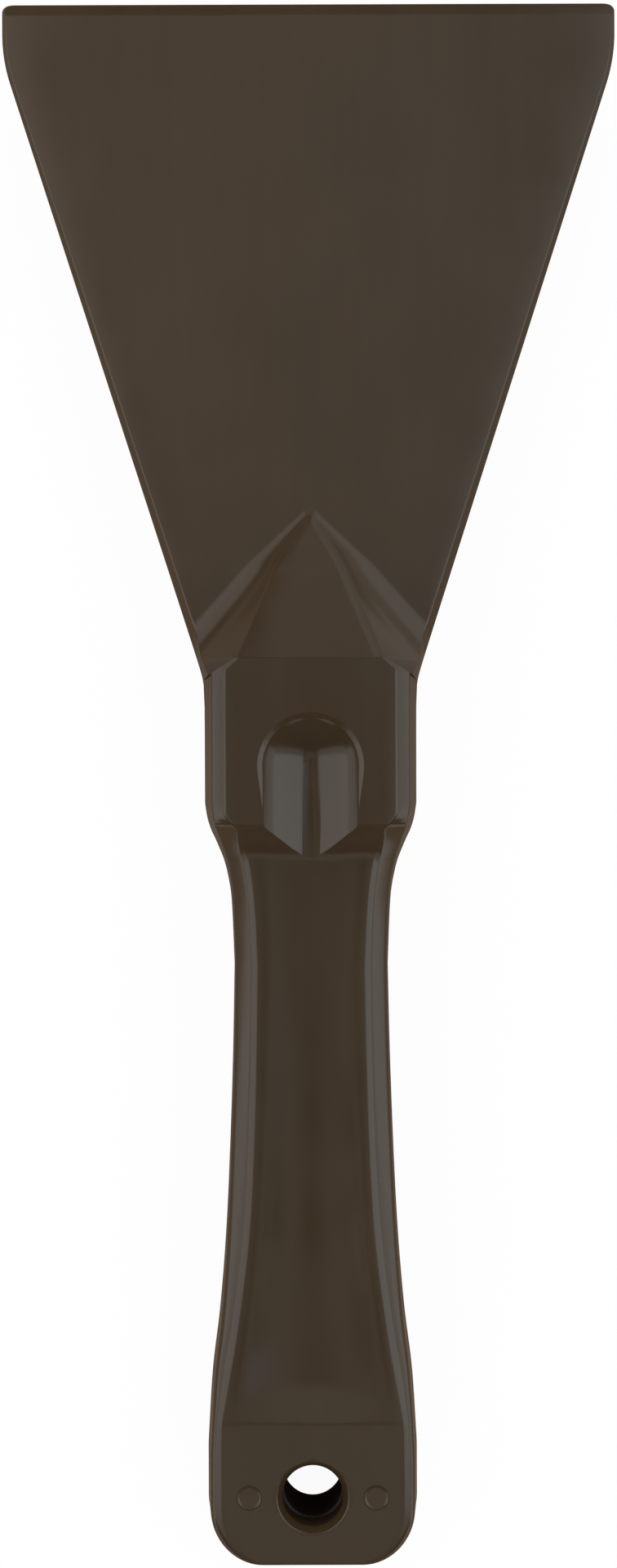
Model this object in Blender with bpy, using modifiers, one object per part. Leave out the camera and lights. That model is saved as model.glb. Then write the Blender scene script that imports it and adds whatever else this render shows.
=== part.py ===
"""Grill scraper in brown heat-resistant nylon, lying on its back. Metres, +Z up.

+Y points to the scraping edge and X runs across the blade. The origin is under the
middle of the part, on the surface that it rests on. The blade's root carries a core
that runs through the handle to the hang hole, and two cross pins lock the two.

Every place along the part is a distance from the butt end, and every cross-section
is drawn about the middle of the thickness. The back mirrors the front.
"""

from math import atan, cos, pi, radians, sin, sqrt, tan

import bmesh
import bpy
from mathutils import Vector

# Whole part
THICKNESS = 0.0240  # collar and butt, whose backs it lies on
HANDLE_LENGTH = 0.1449  # butt end to the collar's mouth
BLADE_LENGTH = 0.1070  # collar's mouth to the scraping edge
GAP = 0.0003  # between pieces that touch

# Blade plate
BLADE_WIDTH = 0.1000
BLADE_SHOULDER = 0.0088  # scraping edge to where the flare would reach full width
BLADE_SHOULDER_RADIUS = 0.0270
BLADE_CORNER_RADIUS = 0.0012
BLADE_ROOT_LAP = 0.0035  # how far the plate's long edges run past the mouth
PLATE_THICKNESS_AT_ROOT = 0.0064
PLATE_THICKNESS_AT_TIP = 0.0026
SCRAPING_EDGE_THICKNESS = 0.0010
SCRAPING_BEVEL = 0.0019  # width of the strip that thins to the edge, on each face
RIM_AT_ROOT = 0.00130  # how far the plate's long edges lean out to the middle of its thickness
RIM_AT_TIP = 0.00055

# Wedge at the blade's root
WEDGE_LENGTH = 0.0234  # mouth to its point on the plate
WEDGE_RIDGE_WIDTH = 0.0230  # central face, at the mouth
WEDGE_FOOT_WIDTH = 0.0414  # across the two valleys, at the mouth
WEDGE_SINK = 0.0001  # how far the central face stops below the collar's face
VALLEY_FILLET = 0.0028  # half width of the hollow along each valley
VALLEY_OPENING = 0.22  # how fast the hollow widens from the wedge's point

# Collar
COLLAR_WIDTH = 0.0345
COLLAR_LENGTH = 0.02675  # mouth to the top of the slope into the grip
COLLAR_SHOULDER_WIDTH = 0.0317  # across the tops of the side faces
COLLAR_FACE_WIDTH = 0.0275
COLLAR_CHAMFER = 0.0020  # depth
COLLAR_FOOT_WIDTH = 0.0244  # front face, at the top of the slope
COLLAR_FOOT_CUT = 0.0017  # length of the face's lower corners
COLLAR_SIDE_CURVE = 0.0035  # how far above the slope the sides start to draw in
MOUTH_FLAT = 0.0241  # straight part of the collar's mouth
MOUTH_SLANT = radians(35.5)  # slant of the mouth's cut corners
MOUTH_CHAMFER = 0.0006

# Thumb rests
THUMB_RADIUS = 0.0104
THUMB_DEPTH = 0.0038
THUMB_NOSE = 0.0172  # mouth to the middle of the ball end
THUMB_RISE = radians(3.6)  # how the groove climbs to the grip
THUMB_RUN = 0.0300

# Grip
NECK_LENGTH = 0.02245  # collar's slope to the narrowest place
NECK_THICKNESS = 0.0184
NECK_SLOPE = 0.0058  # length of the hollow slope below the collar
NECK_DISH = 0.0002
WAIST_WIDTH = 0.0250
WAIST_SHOULDER_WIDTH = 0.0244
WAIST_FACE_WIDTH = 0.0186
WAIST_THICKNESS = 0.0177
WAIST_DISH = 0.0003
LOW_GRIP_DISH = 0.0008
GRIP_CHAMFER = 0.0034  # depth

# Butt
BUTT_WIDTH = 0.0340
BUTT_LENGTH = 0.0230  # flat face
BUTT_SWELL = 0.0053  # how far the sides go on widening beside the flat face
BUTT_CORNER_RADIUS = 0.0090
BUTT_DRAFT = 0.00065
BUTT_EDGE_RADIUS = 0.0020

# Hang hole
HOLE_AT = 0.0112
HOLE_DIAMETER = 0.00974
HOLE_LIP = 0.00095  # width of the rounded lip
HOLE_LIP_DEPTH = 0.0015
CORE_HOLE_DIAMETER = 0.00934

# Core inside the handle
CORE_THICKNESS = 0.0092
CORE_ROOT_WIDTH = 0.0200
CORE_WAIST_WIDTH = 0.0150
CORE_EYE_WIDTH = 0.0274
CORE_EYE_CORNER = 0.0060
CORE_CHAMFER = 0.0010
CORE_END_WALL = 0.0030  # handle left beyond the core's end
CORE_LAP = 0.0050  # how far the core runs into the wedge

# Cross pins
PIN_DIAMETER = 0.0039
PIN_SPACING = 0.02026
PIN_SINK = 0.0001
PIN_CHAMFER = 0.00015

# Places that follow from the sizes, from the butt end
LENGTH = HANDLE_LENGTH + BLADE_LENGTH
HALF = THICKNESS / 2
MOUTH_AT = HANDLE_LENGTH
COLLAR_FOOT_AT = MOUTH_AT - COLLAR_LENGTH
COLLAR_SIDE_END_AT = COLLAR_FOOT_AT + COLLAR_SIDE_CURVE
NECK_AT = COLLAR_FOOT_AT - NECK_SLOPE
WAIST_AT = COLLAR_FOOT_AT - NECK_LENGTH
BUTT_FULL_AT = BUTT_LENGTH - BUTT_SWELL
WEDGE_POINT_AT = MOUTH_AT + WEDGE_LENGTH
BLADE_ROOT_AT = MOUTH_AT - BLADE_ROOT_LAP
BLADE_SHOULDER_AT = LENGTH - BLADE_SHOULDER
SCRAPING_BEVEL_AT = LENGTH - SCRAPING_BEVEL

# Curves: the share of a change that is made by a share of the stretch that it takes
NECK_SIDE_FLOW = (
    (0.0, 0.0), (0.08, 0.07), (0.155, 0.19), (0.235, 0.39), (0.39, 0.71), (0.59, 0.90), (1.0, 1.0)
)
NECK_FACE_FLOW = ((0.0, 0.0), (0.15, 0.35), (0.38, 0.68), (0.65, 0.88), (1.0, 1.0))
NECK_SLOPE_FLOW = ((0.0, 0.0), (0.32, 0.60), (0.57, 0.86), (0.80, 0.97), (1.0, 1.0))
GRIP_SIDE_FLOW = (
    (0.0, 0.0), (0.17, 0.06), (0.445, 0.23), (0.58, 0.36), (0.72, 0.565), (0.855, 0.845), (1.0, 1.0)
)
GRIP_FACE_FLOW = ((0.0, 0.0), (0.20, 0.04), (0.54, 0.19), (0.80, 0.56), (1.0, 1.0))
GRIP_RISE_FLOW = ((0.0, 0.0), (0.25, 0.04), (0.54, 0.15), (0.80, 0.42), (0.92, 0.69), (1.0, 1.0))
DISH_FLOW = ((0.0, 0.0), (0.60, 0.8), (0.80, 1.0))
DISH_RUN_OUT = 0.08  # last share of the grip, in which the dish ends
EDGE_ROUNDING = 3  # power by which the grip's flat chamfers turn round towards the butt

# Fineness
PANEL_STEPS = 4  # on each half of a face
EDGE_STEPS = 3  # down a chamfer or a rounded edge
CORNER_STEPS = 8
MEETING_HALVINGS = 50  # until the place no longer changes
GRIP_STEPS = 12
NECK_STEPS = 5
ROUND_STEPS = 32
NOSE_STEPS = 8
LIP_STEPS = 5
MERGE = 1e-6
REACH = 0.006  # how far a cutter runs past what it cuts
QUARTER_TURN = pi / 2
SHARP_ANGLE = radians(25)

BLADE_COLOUR = (0.060, 0.046, 0.034)
HANDLE_COLOUR = (0.052, 0.039, 0.027)
PIN_COLOUR = (0.055, 0.042, 0.030)
SATIN = 0.38


def between(start, end, share):
    """Value that lies a share of the way from start to end."""
    return start + (end - start) * share


def spread(start, end, count):
    """Places from start to end, both included, in equal steps."""
    return [between(start, end, step / count) for step in range(count + 1)]


def clamped(share):
    return min(1.0, max(0.0, share))


def flow(keys, share):
    """Value at a share on a smooth curve through (share, value) keys, which never overshoots them."""
    slopes = [(b[1] - a[1]) / (b[0] - a[0]) for a, b in zip(keys, keys[1:])]
    inner = [0.0 if a * b <= 0 else 2 * a * b / (a + b) for a, b in zip(slopes, slopes[1:])]
    tangents = [slopes[0], *inner, slopes[-1]]
    share = min(max(share, keys[0][0]), keys[-1][0])
    index = min(sum(share > key[0] for key in keys[1:]), len(slopes) - 1)
    (x0, y0), (x1, y1) = keys[index], keys[index + 1]
    step = x1 - x0
    t = (share - x0) / step
    return (
        (1 + 2 * t) * (1 - t) ** 2 * y0
        + t * (1 - t) ** 2 * step * tangents[index]
        + t * t * (3 - 2 * t) * y1
        + t * t * (t - 1) * step * tangents[index + 1]
    )


def meeting(low, high, difference):
    """Place between low and high where a difference of one sign turns into the other."""
    sign = difference(low) > 0
    for _ in range(MEETING_HALVINGS):
        middle = (low + high) / 2
        if (difference(middle) > 0) == sign:
            low = middle
        else:
            high = middle
    return low


def section(at, quarter):
    """Points of a flat cross-section's front right quarter, from its (x, z) points."""
    return [Vector((x, at, z)) for x, z in quarter]


def ring(quarter):
    """Points of a whole cross-section, from its front right quarter's."""
    right = quarter + [Vector((point.x, point.y, -point.z)) for point in reversed(quarter[:-1])]
    return right + [Vector((-point.x, point.y, point.z)) for point in reversed(right[1:-1])]


def cap(shape, row):
    """Closes an end, with an edge from left to right at each step down its side."""
    shape.faces.new(row)
    top = row[0].co.z
    for i in range(1, len(row) // 2):
        if abs(row[i].co.z) < top - MERGE:
            bmesh.ops.connect_verts(shape, verts=[row[i], row[-i]])


def loft(rings):
    """Closed shape over a row of rings that have equal counts of points."""
    shape = bmesh.new()
    rows = [[shape.verts.new(point) for point in points] for points in rings]
    for near, far in zip(rows, rows[1:]):
        for i, corner in enumerate(near):
            j = (i + 1) % len(near)
            shape.faces.new((corner, near[j], far[j], far[i]))
    cap(shape, rows[0])
    cap(shape, rows[-1])
    bmesh.ops.remove_doubles(shape, verts=shape.verts, dist=MERGE)
    bmesh.ops.recalc_face_normals(shape, faces=shape.faces)
    bmesh.ops.triangulate(shape, faces=shape.faces, quad_method="SHORT_EDGE")
    return shape


def trim(shape, point, normal):
    """Cuts off what lies past a plane and closes the cut."""
    everything = [*shape.verts, *shape.edges, *shape.faces]
    bmesh.ops.bisect_plane(
        shape, geom=everything, dist=MERGE / 10, plane_co=point, plane_no=normal, clear_outer=True
    )
    bmesh.ops.holes_fill(shape, edges=[edge for edge in shape.edges if edge.is_boundary])


def trim_mouth_corners(shape, clearance):
    """Cuts the two corners off the collar's mouth, or off the block that makes room for it."""
    for side in (-1, 1):
        normal = Vector((side * sin(MOUTH_SLANT), cos(MOUTH_SLANT), 0))
        corner = Vector((side * MOUTH_FLAT / 2, MOUTH_AT, 0))
        trim(shape, corner + normal * clearance, normal)


def chamfer_mouth_corners(shape):
    """Breaks the front and back edges of the mouth's cut corners."""
    for side in (-1, 1):
        across = Vector((side * sin(MOUTH_SLANT), cos(MOUTH_SLANT), 0))
        for face in (-1, 1):
            edge = Vector((side * MOUTH_FLAT / 2, MOUTH_AT, face * HALF))
            trim(shape, edge - across * MOUTH_CHAMFER, (across + Vector((0, 0, face))).normalized())


def side_at(at):
    """Half width of the handle at the middle of its thickness."""
    if at > WAIST_AT:
        share = (COLLAR_SIDE_END_AT - at) / (COLLAR_SIDE_END_AT - WAIST_AT)
        return between(COLLAR_WIDTH, WAIST_WIDTH, flow(NECK_SIDE_FLOW, share)) / 2
    share = (WAIST_AT - at) / (WAIST_AT - BUTT_FULL_AT)
    return between(WAIST_WIDTH, BUTT_WIDTH, flow(GRIP_SIDE_FLOW, share)) / 2


def shoulder_at(at):
    """Half width of the handle at the top of its side faces."""
    if at > WAIST_AT:
        share = (COLLAR_SIDE_END_AT - at) / (COLLAR_SIDE_END_AT - WAIST_AT)
        return between(COLLAR_SHOULDER_WIDTH, WAIST_SHOULDER_WIDTH, flow(NECK_SIDE_FLOW, share)) / 2
    share = (WAIST_AT - at) / (WAIST_AT - BUTT_FULL_AT)
    butt = BUTT_WIDTH - 2 * BUTT_DRAFT
    return between(WAIST_SHOULDER_WIDTH, butt, flow(GRIP_SIDE_FLOW, share)) / 2


def face_at(at):
    """Half width of the handle's front face."""
    if at > COLLAR_FOOT_AT:
        share = clamped((at - COLLAR_FOOT_AT) / COLLAR_FOOT_CUT)
        return between(COLLAR_FOOT_WIDTH, COLLAR_FACE_WIDTH, share) / 2
    if at > WAIST_AT:
        share = (COLLAR_FOOT_AT - at) / NECK_LENGTH
        return between(COLLAR_FOOT_WIDTH, WAIST_FACE_WIDTH, flow(NECK_FACE_FLOW, share)) / 2
    share = (WAIST_AT - at) / (WAIST_AT - BUTT_LENGTH)
    butt = BUTT_WIDTH - 2 * (BUTT_DRAFT + BUTT_EDGE_RADIUS)
    return between(WAIST_FACE_WIDTH, butt, flow(GRIP_FACE_FLOW, share)) / 2


def height_at(at):
    """Half thickness of the handle along the rim of its front face."""
    if at > COLLAR_FOOT_AT:
        return HALF
    if at > NECK_AT:
        share = (COLLAR_FOOT_AT - at) / NECK_SLOPE
        return between(THICKNESS, NECK_THICKNESS, flow(NECK_SLOPE_FLOW, share)) / 2
    if at > WAIST_AT:
        return between(WAIST_THICKNESS, NECK_THICKNESS, (at - WAIST_AT) / (NECK_AT - WAIST_AT)) / 2
    share = (WAIST_AT - at) / (WAIST_AT - BUTT_LENGTH)
    return between(WAIST_THICKNESS, THICKNESS, flow(GRIP_RISE_FLOW, share)) / 2


def chamfer_at(at):
    """Depth of the chamfer along the handle's front face."""
    if at > WAIST_AT:
        return between(COLLAR_CHAMFER, GRIP_CHAMFER, clamped((COLLAR_FOOT_AT - at) / NECK_SLOPE))
    share = (WAIST_AT - at) / (WAIST_AT - BUTT_LENGTH)
    return between(GRIP_CHAMFER, BUTT_EDGE_RADIUS, flow(GRIP_FACE_FLOW, share))


def dish_at(at):
    """Depth of the front face's hollow, across the grip."""
    if at > NECK_AT:
        return NECK_DISH * clamped((COLLAR_FOOT_AT - at) / NECK_SLOPE)
    if at > WAIST_AT:
        return between(WAIST_DISH, NECK_DISH, (at - WAIST_AT) / (NECK_AT - WAIST_AT))
    share = (WAIST_AT - at) / (WAIST_AT - BUTT_LENGTH)
    dish = between(WAIST_DISH, LOW_GRIP_DISH, flow(DISH_FLOW, share))
    return dish * clamped((1 - share) / DISH_RUN_OUT)


def handle_quarter(at):
    """Front right quarter of the handle's cross-section, from the face's middle to the side."""
    face, shoulder = face_at(at), shoulder_at(at)
    height, drop, dish = height_at(at), chamfer_at(at), dish_at(at)
    panel = [(x, height - dish * (1 - (x / face) ** 2)) for x in spread(0, face, PANEL_STEPS)]
    roundness = clamped((WAIST_AT - at) / (WAIST_AT - BUTT_LENGTH)) ** EDGE_ROUNDING
    edge = []
    for share in spread(0, 1, EDGE_STEPS)[1:]:
        across = between(share, sin(QUARTER_TURN * share), roundness)
        down = between(share, 1 - cos(QUARTER_TURN * share), roundness)
        edge.append((between(face, shoulder, across), height - drop * down))
    return [*panel, *edge, (side_at(at), 0.0)]


def butt_corner_quarter(turn):
    """That quarter at the butt's end, turned about the centre line of its rounded corner."""
    centre = BUTT_WIDTH / 2 - BUTT_CORNER_RADIUS
    corner = []
    for x, z in handle_quarter(BUTT_CORNER_RADIUS)[PANEL_STEPS:]:
        radius = x - centre
        at = BUTT_CORNER_RADIUS - radius * cos(turn)
        corner.append(Vector((centre + radius * sin(turn), at, z)))
    rim = corner[0]
    return [Vector((x, rim.y, rim.z)) for x in spread(0, rim.x, PANEL_STEPS)[:-1]] + corner


def blade_flare():
    """How much wider each side of the blade grows for a length towards the scraping edge."""
    return (BLADE_WIDTH - COLLAR_WIDTH) / 2 / (BLADE_SHOULDER_AT - BLADE_ROOT_AT)


def shoulder_run():
    """Length from the shoulder's corner to either end of the arc that rounds it."""
    return BLADE_SHOULDER_RADIUS * tan(atan(blade_flare()) / 2)


def plate_side_at(at):
    """Half width of the blade at the middle of its thickness: flare, shoulder arc, corner."""
    half = BLADE_WIDTH / 2
    if at < BLADE_SHOULDER_AT - shoulder_run() * cos(atan(blade_flare())):
        return half - (BLADE_SHOULDER_AT - at) * blade_flare()
    before = max(0.0, BLADE_SHOULDER_AT + shoulder_run() - at)
    side = half - BLADE_SHOULDER_RADIUS + sqrt(BLADE_SHOULDER_RADIUS**2 - before**2)
    corner = max(0.0, at - (LENGTH - BLADE_CORNER_RADIUS))
    return side - BLADE_CORNER_RADIUS + sqrt(max(0.0, BLADE_CORNER_RADIUS**2 - corner**2))


def plate_height_at(at):
    """Half thickness of the blade's plate."""
    if at > SCRAPING_BEVEL_AT:
        share = (at - SCRAPING_BEVEL_AT) / SCRAPING_BEVEL
        return between(PLATE_THICKNESS_AT_TIP, SCRAPING_EDGE_THICKNESS, share) / 2
    share = (at - MOUTH_AT) / (SCRAPING_BEVEL_AT - MOUTH_AT)
    return between(PLATE_THICKNESS_AT_ROOT, PLATE_THICKNESS_AT_TIP, share) / 2


def rim_at(at):
    """Width of the leaning rim along the plate's long edges."""
    return between(RIM_AT_ROOT, RIM_AT_TIP, clamped((at - MOUTH_AT) / BLADE_LENGTH))


def edge_at(at):
    """Half width of the plate's flat face."""
    return plate_side_at(at) - rim_at(at)


def foot_at(at):
    """Half width across the valleys beside the wedge."""
    return WEDGE_FOOT_WIDTH / 2 * max(0.0, WEDGE_POINT_AT - at) / WEDGE_LENGTH


def hollow_at(at):
    """Half width of the fillet along each valley."""
    return min(VALLEY_FILLET, VALLEY_OPENING * max(0.0, WEDGE_POINT_AT - at))


def blade_quarter(at):
    """Front right quarter of the blade's cross-section: wedge, valley, plate, rim."""
    plate = plate_height_at(at)
    share = max(0.0, WEDGE_POINT_AT - at) / WEDGE_LENGTH
    ridge = WEDGE_RIDGE_WIDTH / 2 * share
    foot, hollow, edge = foot_at(at), hollow_at(at), edge_at(at)
    top = between(plate_height_at(WEDGE_POINT_AT), HALF - WEDGE_SINK, min(1.0, share))

    def surface(x):
        if x <= ridge or share == 0:
            return max(top, plate) if share else plate
        lean = (top - plate) / (foot - ridge)
        if x < foot - hollow:
            return top - (x - ridge) * lean
        return plate + lean * max(0.0, foot + hollow - x) ** 2 / (4 * hollow)

    across = [min(x, edge) for x in (0.0, ridge, foot - hollow, foot, foot + hollow, edge)]
    return [(x, surface(x)) for x in across] + [(plate_side_at(at), 0.0)]


def core_quarter(at, clearance):
    """Front right quarter of the core's cross-section, or of the socket around it."""
    if at > WAIST_AT:
        share = flow(NECK_FACE_FLOW, (COLLAR_FOOT_AT - at) / NECK_LENGTH)
        width = between(CORE_ROOT_WIDTH, CORE_WAIST_WIDTH, share)
    else:
        share = flow(GRIP_FACE_FLOW, (WAIST_AT - at) / (WAIST_AT - BUTT_LENGTH))
        width = between(CORE_WAIST_WIDTH, CORE_EYE_WIDTH, share)
    corner = CORE_EYE_CORNER + clearance
    away = max(0.0, CORE_END_WALL + CORE_EYE_CORNER - at)
    half = width / 2 + clearance - corner + sqrt(max(0.0, corner**2 - away**2))
    height = CORE_THICKNESS / 2 + clearance
    return [(0.0, height), (half - CORE_CHAMFER, height), (half, height - CORE_CHAMFER), (half, 0.0)]


def corner_places(start, radius, count):
    """Places along a rounded corner that begins at start, in equal steps of its arc."""
    return [start + radius * (1 - cos(turn)) for turn in spread(0, QUARTER_TURN, count)]


def handle_shape():
    """Handle before anything is cut from it: butt, grip, neck and collar."""
    corners = [butt_corner_quarter(turn) for turn in spread(0, QUARTER_TURN, CORNER_STEPS)]
    places = [BUTT_FULL_AT, *spread(BUTT_LENGTH, WAIST_AT, GRIP_STEPS)]
    places += spread(WAIST_AT, NECK_AT, NECK_STEPS)[1:]
    places += spread(NECK_AT, COLLAR_FOOT_AT, NECK_STEPS)[1:]
    places += [COLLAR_FOOT_AT + COLLAR_FOOT_CUT, COLLAR_SIDE_END_AT, MOUTH_AT]
    sections = [section(at, handle_quarter(at)) for at in places]
    shape = loft([ring(quarter) for quarter in corners + sections])
    trim_mouth_corners(shape, 0.0)
    chamfer_mouth_corners(shape)
    return shape


def blade_shape():
    """Plate and wedge, from inside the collar's mouth to the scraping edge."""
    root = MOUTH_AT - REACH
    places = [root, MOUTH_AT, WEDGE_POINT_AT - VALLEY_FILLET / VALLEY_OPENING, WEDGE_POINT_AT]
    for side in (-1, 0, 1):

        def past_edge(at, side=side):
            """How far the middle or a side of the valley's fillet lies past the plate's edge."""
            return foot_at(at) + side * hollow_at(at) - edge_at(at)

        places.append(meeting(root, WEDGE_POINT_AT, past_edge))
    places += spread(BLADE_SHOULDER_AT - shoulder_run(), SCRAPING_BEVEL_AT, CORNER_STEPS)
    corner = corner_places(0.0, BLADE_CORNER_RADIUS, CORNER_STEPS // 2)
    places += [LENGTH - before for before in reversed(corner)]
    return loft([ring(section(at, blade_quarter(at))) for at in sorted(places)])


def core_shape(clearance, top):
    """Core from its eye at the butt up to a place in the wedge, grown by a clearance all round."""
    start = CORE_END_WALL - clearance
    places = corner_places(start, CORE_EYE_CORNER + clearance, CORNER_STEPS // 2 + 1)
    places += spread(BUTT_LENGTH, WAIST_AT, GRIP_STEPS // 2)
    places += spread(WAIST_AT, COLLAR_FOOT_AT, NECK_STEPS)[1:]
    places += [top]
    return loft([ring(section(at, core_quarter(at, clearance))) for at in places])


def mouth_block():
    """Block that takes the collar's room, and a gap, out of the blade's root."""
    shape = bmesh.new()
    bmesh.ops.create_cube(shape, size=1.0)
    low = Vector((-BLADE_WIDTH / 2, MOUTH_AT - 2 * REACH, -THICKNESS))
    high = Vector((BLADE_WIDTH / 2, MOUTH_AT + GAP, THICKNESS))
    for corner in shape.verts:
        corner.co = Vector(high[axis] if corner.co[axis] > 0 else low[axis] for axis in range(3))
    trim_mouth_corners(shape, GAP)
    return shape


def new_collection(name):
    collection = bpy.data.collections.new(name)
    bpy.context.scene.collection.children.link(collection)
    return collection


def clear_scene():
    for thing in list(bpy.data.objects):
        bpy.data.objects.remove(thing, do_unlink=True)


def nylon(name, colour):
    """Satin moulded nylon of one colour."""
    material = bpy.data.materials.new(name)
    material.use_nodes = True
    shader = material.node_tree.nodes["Principled BSDF"]
    shader.inputs["Base Color"].default_value = (*colour, 1.0)
    shader.inputs["Roughness"].default_value = SATIN
    shader.inputs["Metallic"].default_value = 0.0
    material.diffuse_color = (*colour, 1.0)
    return material


class Bench:
    """Holds the two collections and the empty that every piece and cutter is placed from."""

    def __init__(self):
        self.parts = new_collection("grill_scraper")
        self.cutters = new_collection("cutters")
        self.origin = bpy.data.objects.new("butt_end_centre", None)
        self.origin.location = (0.0, -LENGTH / 2, HALF)
        self.parts.objects.link(self.origin)

    def place(self, thing, collection):
        for holder in list(thing.users_collection):
            holder.objects.unlink(thing)
        collection.objects.link(thing)
        thing.parent = self.origin
        return thing

    def piece(self, name, shape, material):
        """A sub-part, from a shape drawn about the butt end."""
        mesh = bpy.data.meshes.new(name)
        shape.to_mesh(mesh)
        shape.free()
        mesh.materials.append(material)
        mesh.shade_smooth()
        mesh.set_sharp_from_angle(angle=SHARP_ANGLE)
        return self.place(bpy.data.objects.new(name, mesh), self.parts)

    def helper(self, thing):
        """A cutter, or a shape to join, that isn't a part itself."""
        thing.hide_render = True
        thing.display_type = "WIRE"
        return self.place(thing, self.cutters)

    def shaped_helper(self, name, shape):
        mesh = bpy.data.meshes.new(name)
        shape.to_mesh(mesh)
        shape.free()
        return self.helper(bpy.data.objects.new(name, mesh))

    def rod(self, name, diameter, x):
        """A round cutter through the whole butt, across its faces."""
        bpy.ops.mesh.primitive_cylinder_add(
            vertices=ROUND_STEPS, radius=diameter / 2, depth=THICKNESS + 2 * REACH, location=(x, HOLE_AT, 0)
        )
        rod = bpy.context.object
        rod.name = name
        return self.helper(rod)

    def turned(self, name, profile):
        """A round cutter from (radius, height) points down its outer side."""
        mesh = bpy.data.meshes.new(name)
        points = [(radius, 0.0, height) for radius, height in profile]
        mesh.from_pydata(points, [(i, i + 1) for i in range(len(points) - 1)], [])
        thing = bpy.data.objects.new(name, mesh)
        turning = thing.modifiers.new("turning", "SCREW")
        turning.steps = ROUND_STEPS
        turning.render_steps = ROUND_STEPS
        turning.use_merge_vertices = True
        turning.merge_threshold = MERGE
        return self.helper(thing)


def combine(target, other, operation):
    modifier = target.modifiers.new(other.name, "BOOLEAN")
    modifier.operation = operation
    modifier.solver = "EXACT"
    modifier.object = other


def thumb_cutter(bench, name, face):
    """Ball-nosed groove on the front (face 1) or the back (face -1), climbing to the grip."""
    nose = [
        (THUMB_RADIUS * sin(turn), THUMB_RADIUS * cos(turn)) for turn in spread(0, QUARTER_TURN, NOSE_STEPS)
    ]
    cutter = bench.turned(name, nose + [(THUMB_RADIUS, -THUMB_RUN), (0.0, -THUMB_RUN)])
    height = HALF + THUMB_RADIUS - THUMB_DEPTH
    cutter.location = (0.0, MOUTH_AT - THUMB_NOSE, face * height)
    cutter.rotation_euler.x = -(QUARTER_TURN + face * THUMB_RISE)
    return cutter


def hang_hole_cutter(bench):
    """Bore with a rounded lip on both faces."""
    bore = HOLE_DIAMETER / 2
    lip = [
        (bore + HOLE_LIP * (1 - sin(turn)), HALF - HOLE_LIP_DEPTH * (1 - cos(turn)))
        for turn in spread(0, QUARTER_TURN, LIP_STEPS)
    ]
    outside = HALF + REACH
    upper = [(0.0, outside), (bore + HOLE_LIP, outside), *lip]
    lower = [(radius, -height) for radius, height in reversed(upper)]
    cutter = bench.turned("hang_hole", upper + lower)
    cutter.location = (0.0, HOLE_AT, 0.0)
    return cutter


def pin(bench, name, side, material):
    """Cross pin beside the hang hole, from face to face."""
    bpy.ops.mesh.primitive_cylinder_add(
        vertices=ROUND_STEPS,
        radius=PIN_DIAMETER / 2,
        depth=THICKNESS - 2 * PIN_SINK,
        location=(side * PIN_SPACING / 2, HOLE_AT, 0),
    )
    thing = bpy.context.object
    thing.name = name
    thing.data.name = name
    thing.data.materials.append(material)
    thing.data.shade_smooth()
    thing.data.set_sharp_from_angle(angle=SHARP_ANGLE)
    edges = thing.modifiers.new("edges", "BEVEL")
    edges.width = PIN_CHAMFER
    edges.segments = 1
    bench.place(thing, bench.parts)


def main():
    clear_scene()
    bench = Bench()
    pin_holes = [
        bench.rod(f"pin_hole_{name}", PIN_DIAMETER + 2 * GAP, side * PIN_SPACING / 2)
        for name, side in (("left", -1), ("right", 1))
    ]

    handle = bench.piece("handle", handle_shape(), nylon("handle_nylon", HANDLE_COLOUR))
    core_top = MOUTH_AT + CORE_LAP
    combine(handle, bench.shaped_helper("core_socket", core_shape(GAP, core_top + REACH)), "DIFFERENCE")
    combine(handle, thumb_cutter(bench, "front_thumb_rest", 1), "DIFFERENCE")
    combine(handle, thumb_cutter(bench, "back_thumb_rest", -1), "DIFFERENCE")
    combine(handle, hang_hole_cutter(bench), "DIFFERENCE")

    blade = bench.piece("blade", blade_shape(), nylon("blade_nylon", BLADE_COLOUR))
    combine(blade, bench.shaped_helper("collar_room", mouth_block()), "DIFFERENCE")
    combine(blade, bench.shaped_helper("core", core_shape(0.0, core_top)), "UNION")
    combine(blade, bench.rod("core_hole", CORE_HOLE_DIAMETER, 0.0), "DIFFERENCE")

    for hole in pin_holes:
        combine(handle, hole, "DIFFERENCE")
        combine(blade, hole, "DIFFERENCE")
    pin_material = nylon("pin_nylon", PIN_COLOUR)
    pin(bench, "lock_pin_left", -1, pin_material)
    pin(bench, "lock_pin_right", 1, pin_material)


main()
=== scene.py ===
"""Looks of a brown nylon grill scraper that lies on its back under studio light.

Lengths are in metres. A place along the tool is a distance from the butt end, called "at",
and a height is measured from the middle of the thickness. The front and the back mirror
each other, and so do left and right.
"""

import logging
from collections.abc import Callable, Iterator, Sequence
from contextlib import contextmanager
from dataclasses import dataclass, field
from enum import Enum
from math import cos, pi, radians, sin, sqrt, tan

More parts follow.
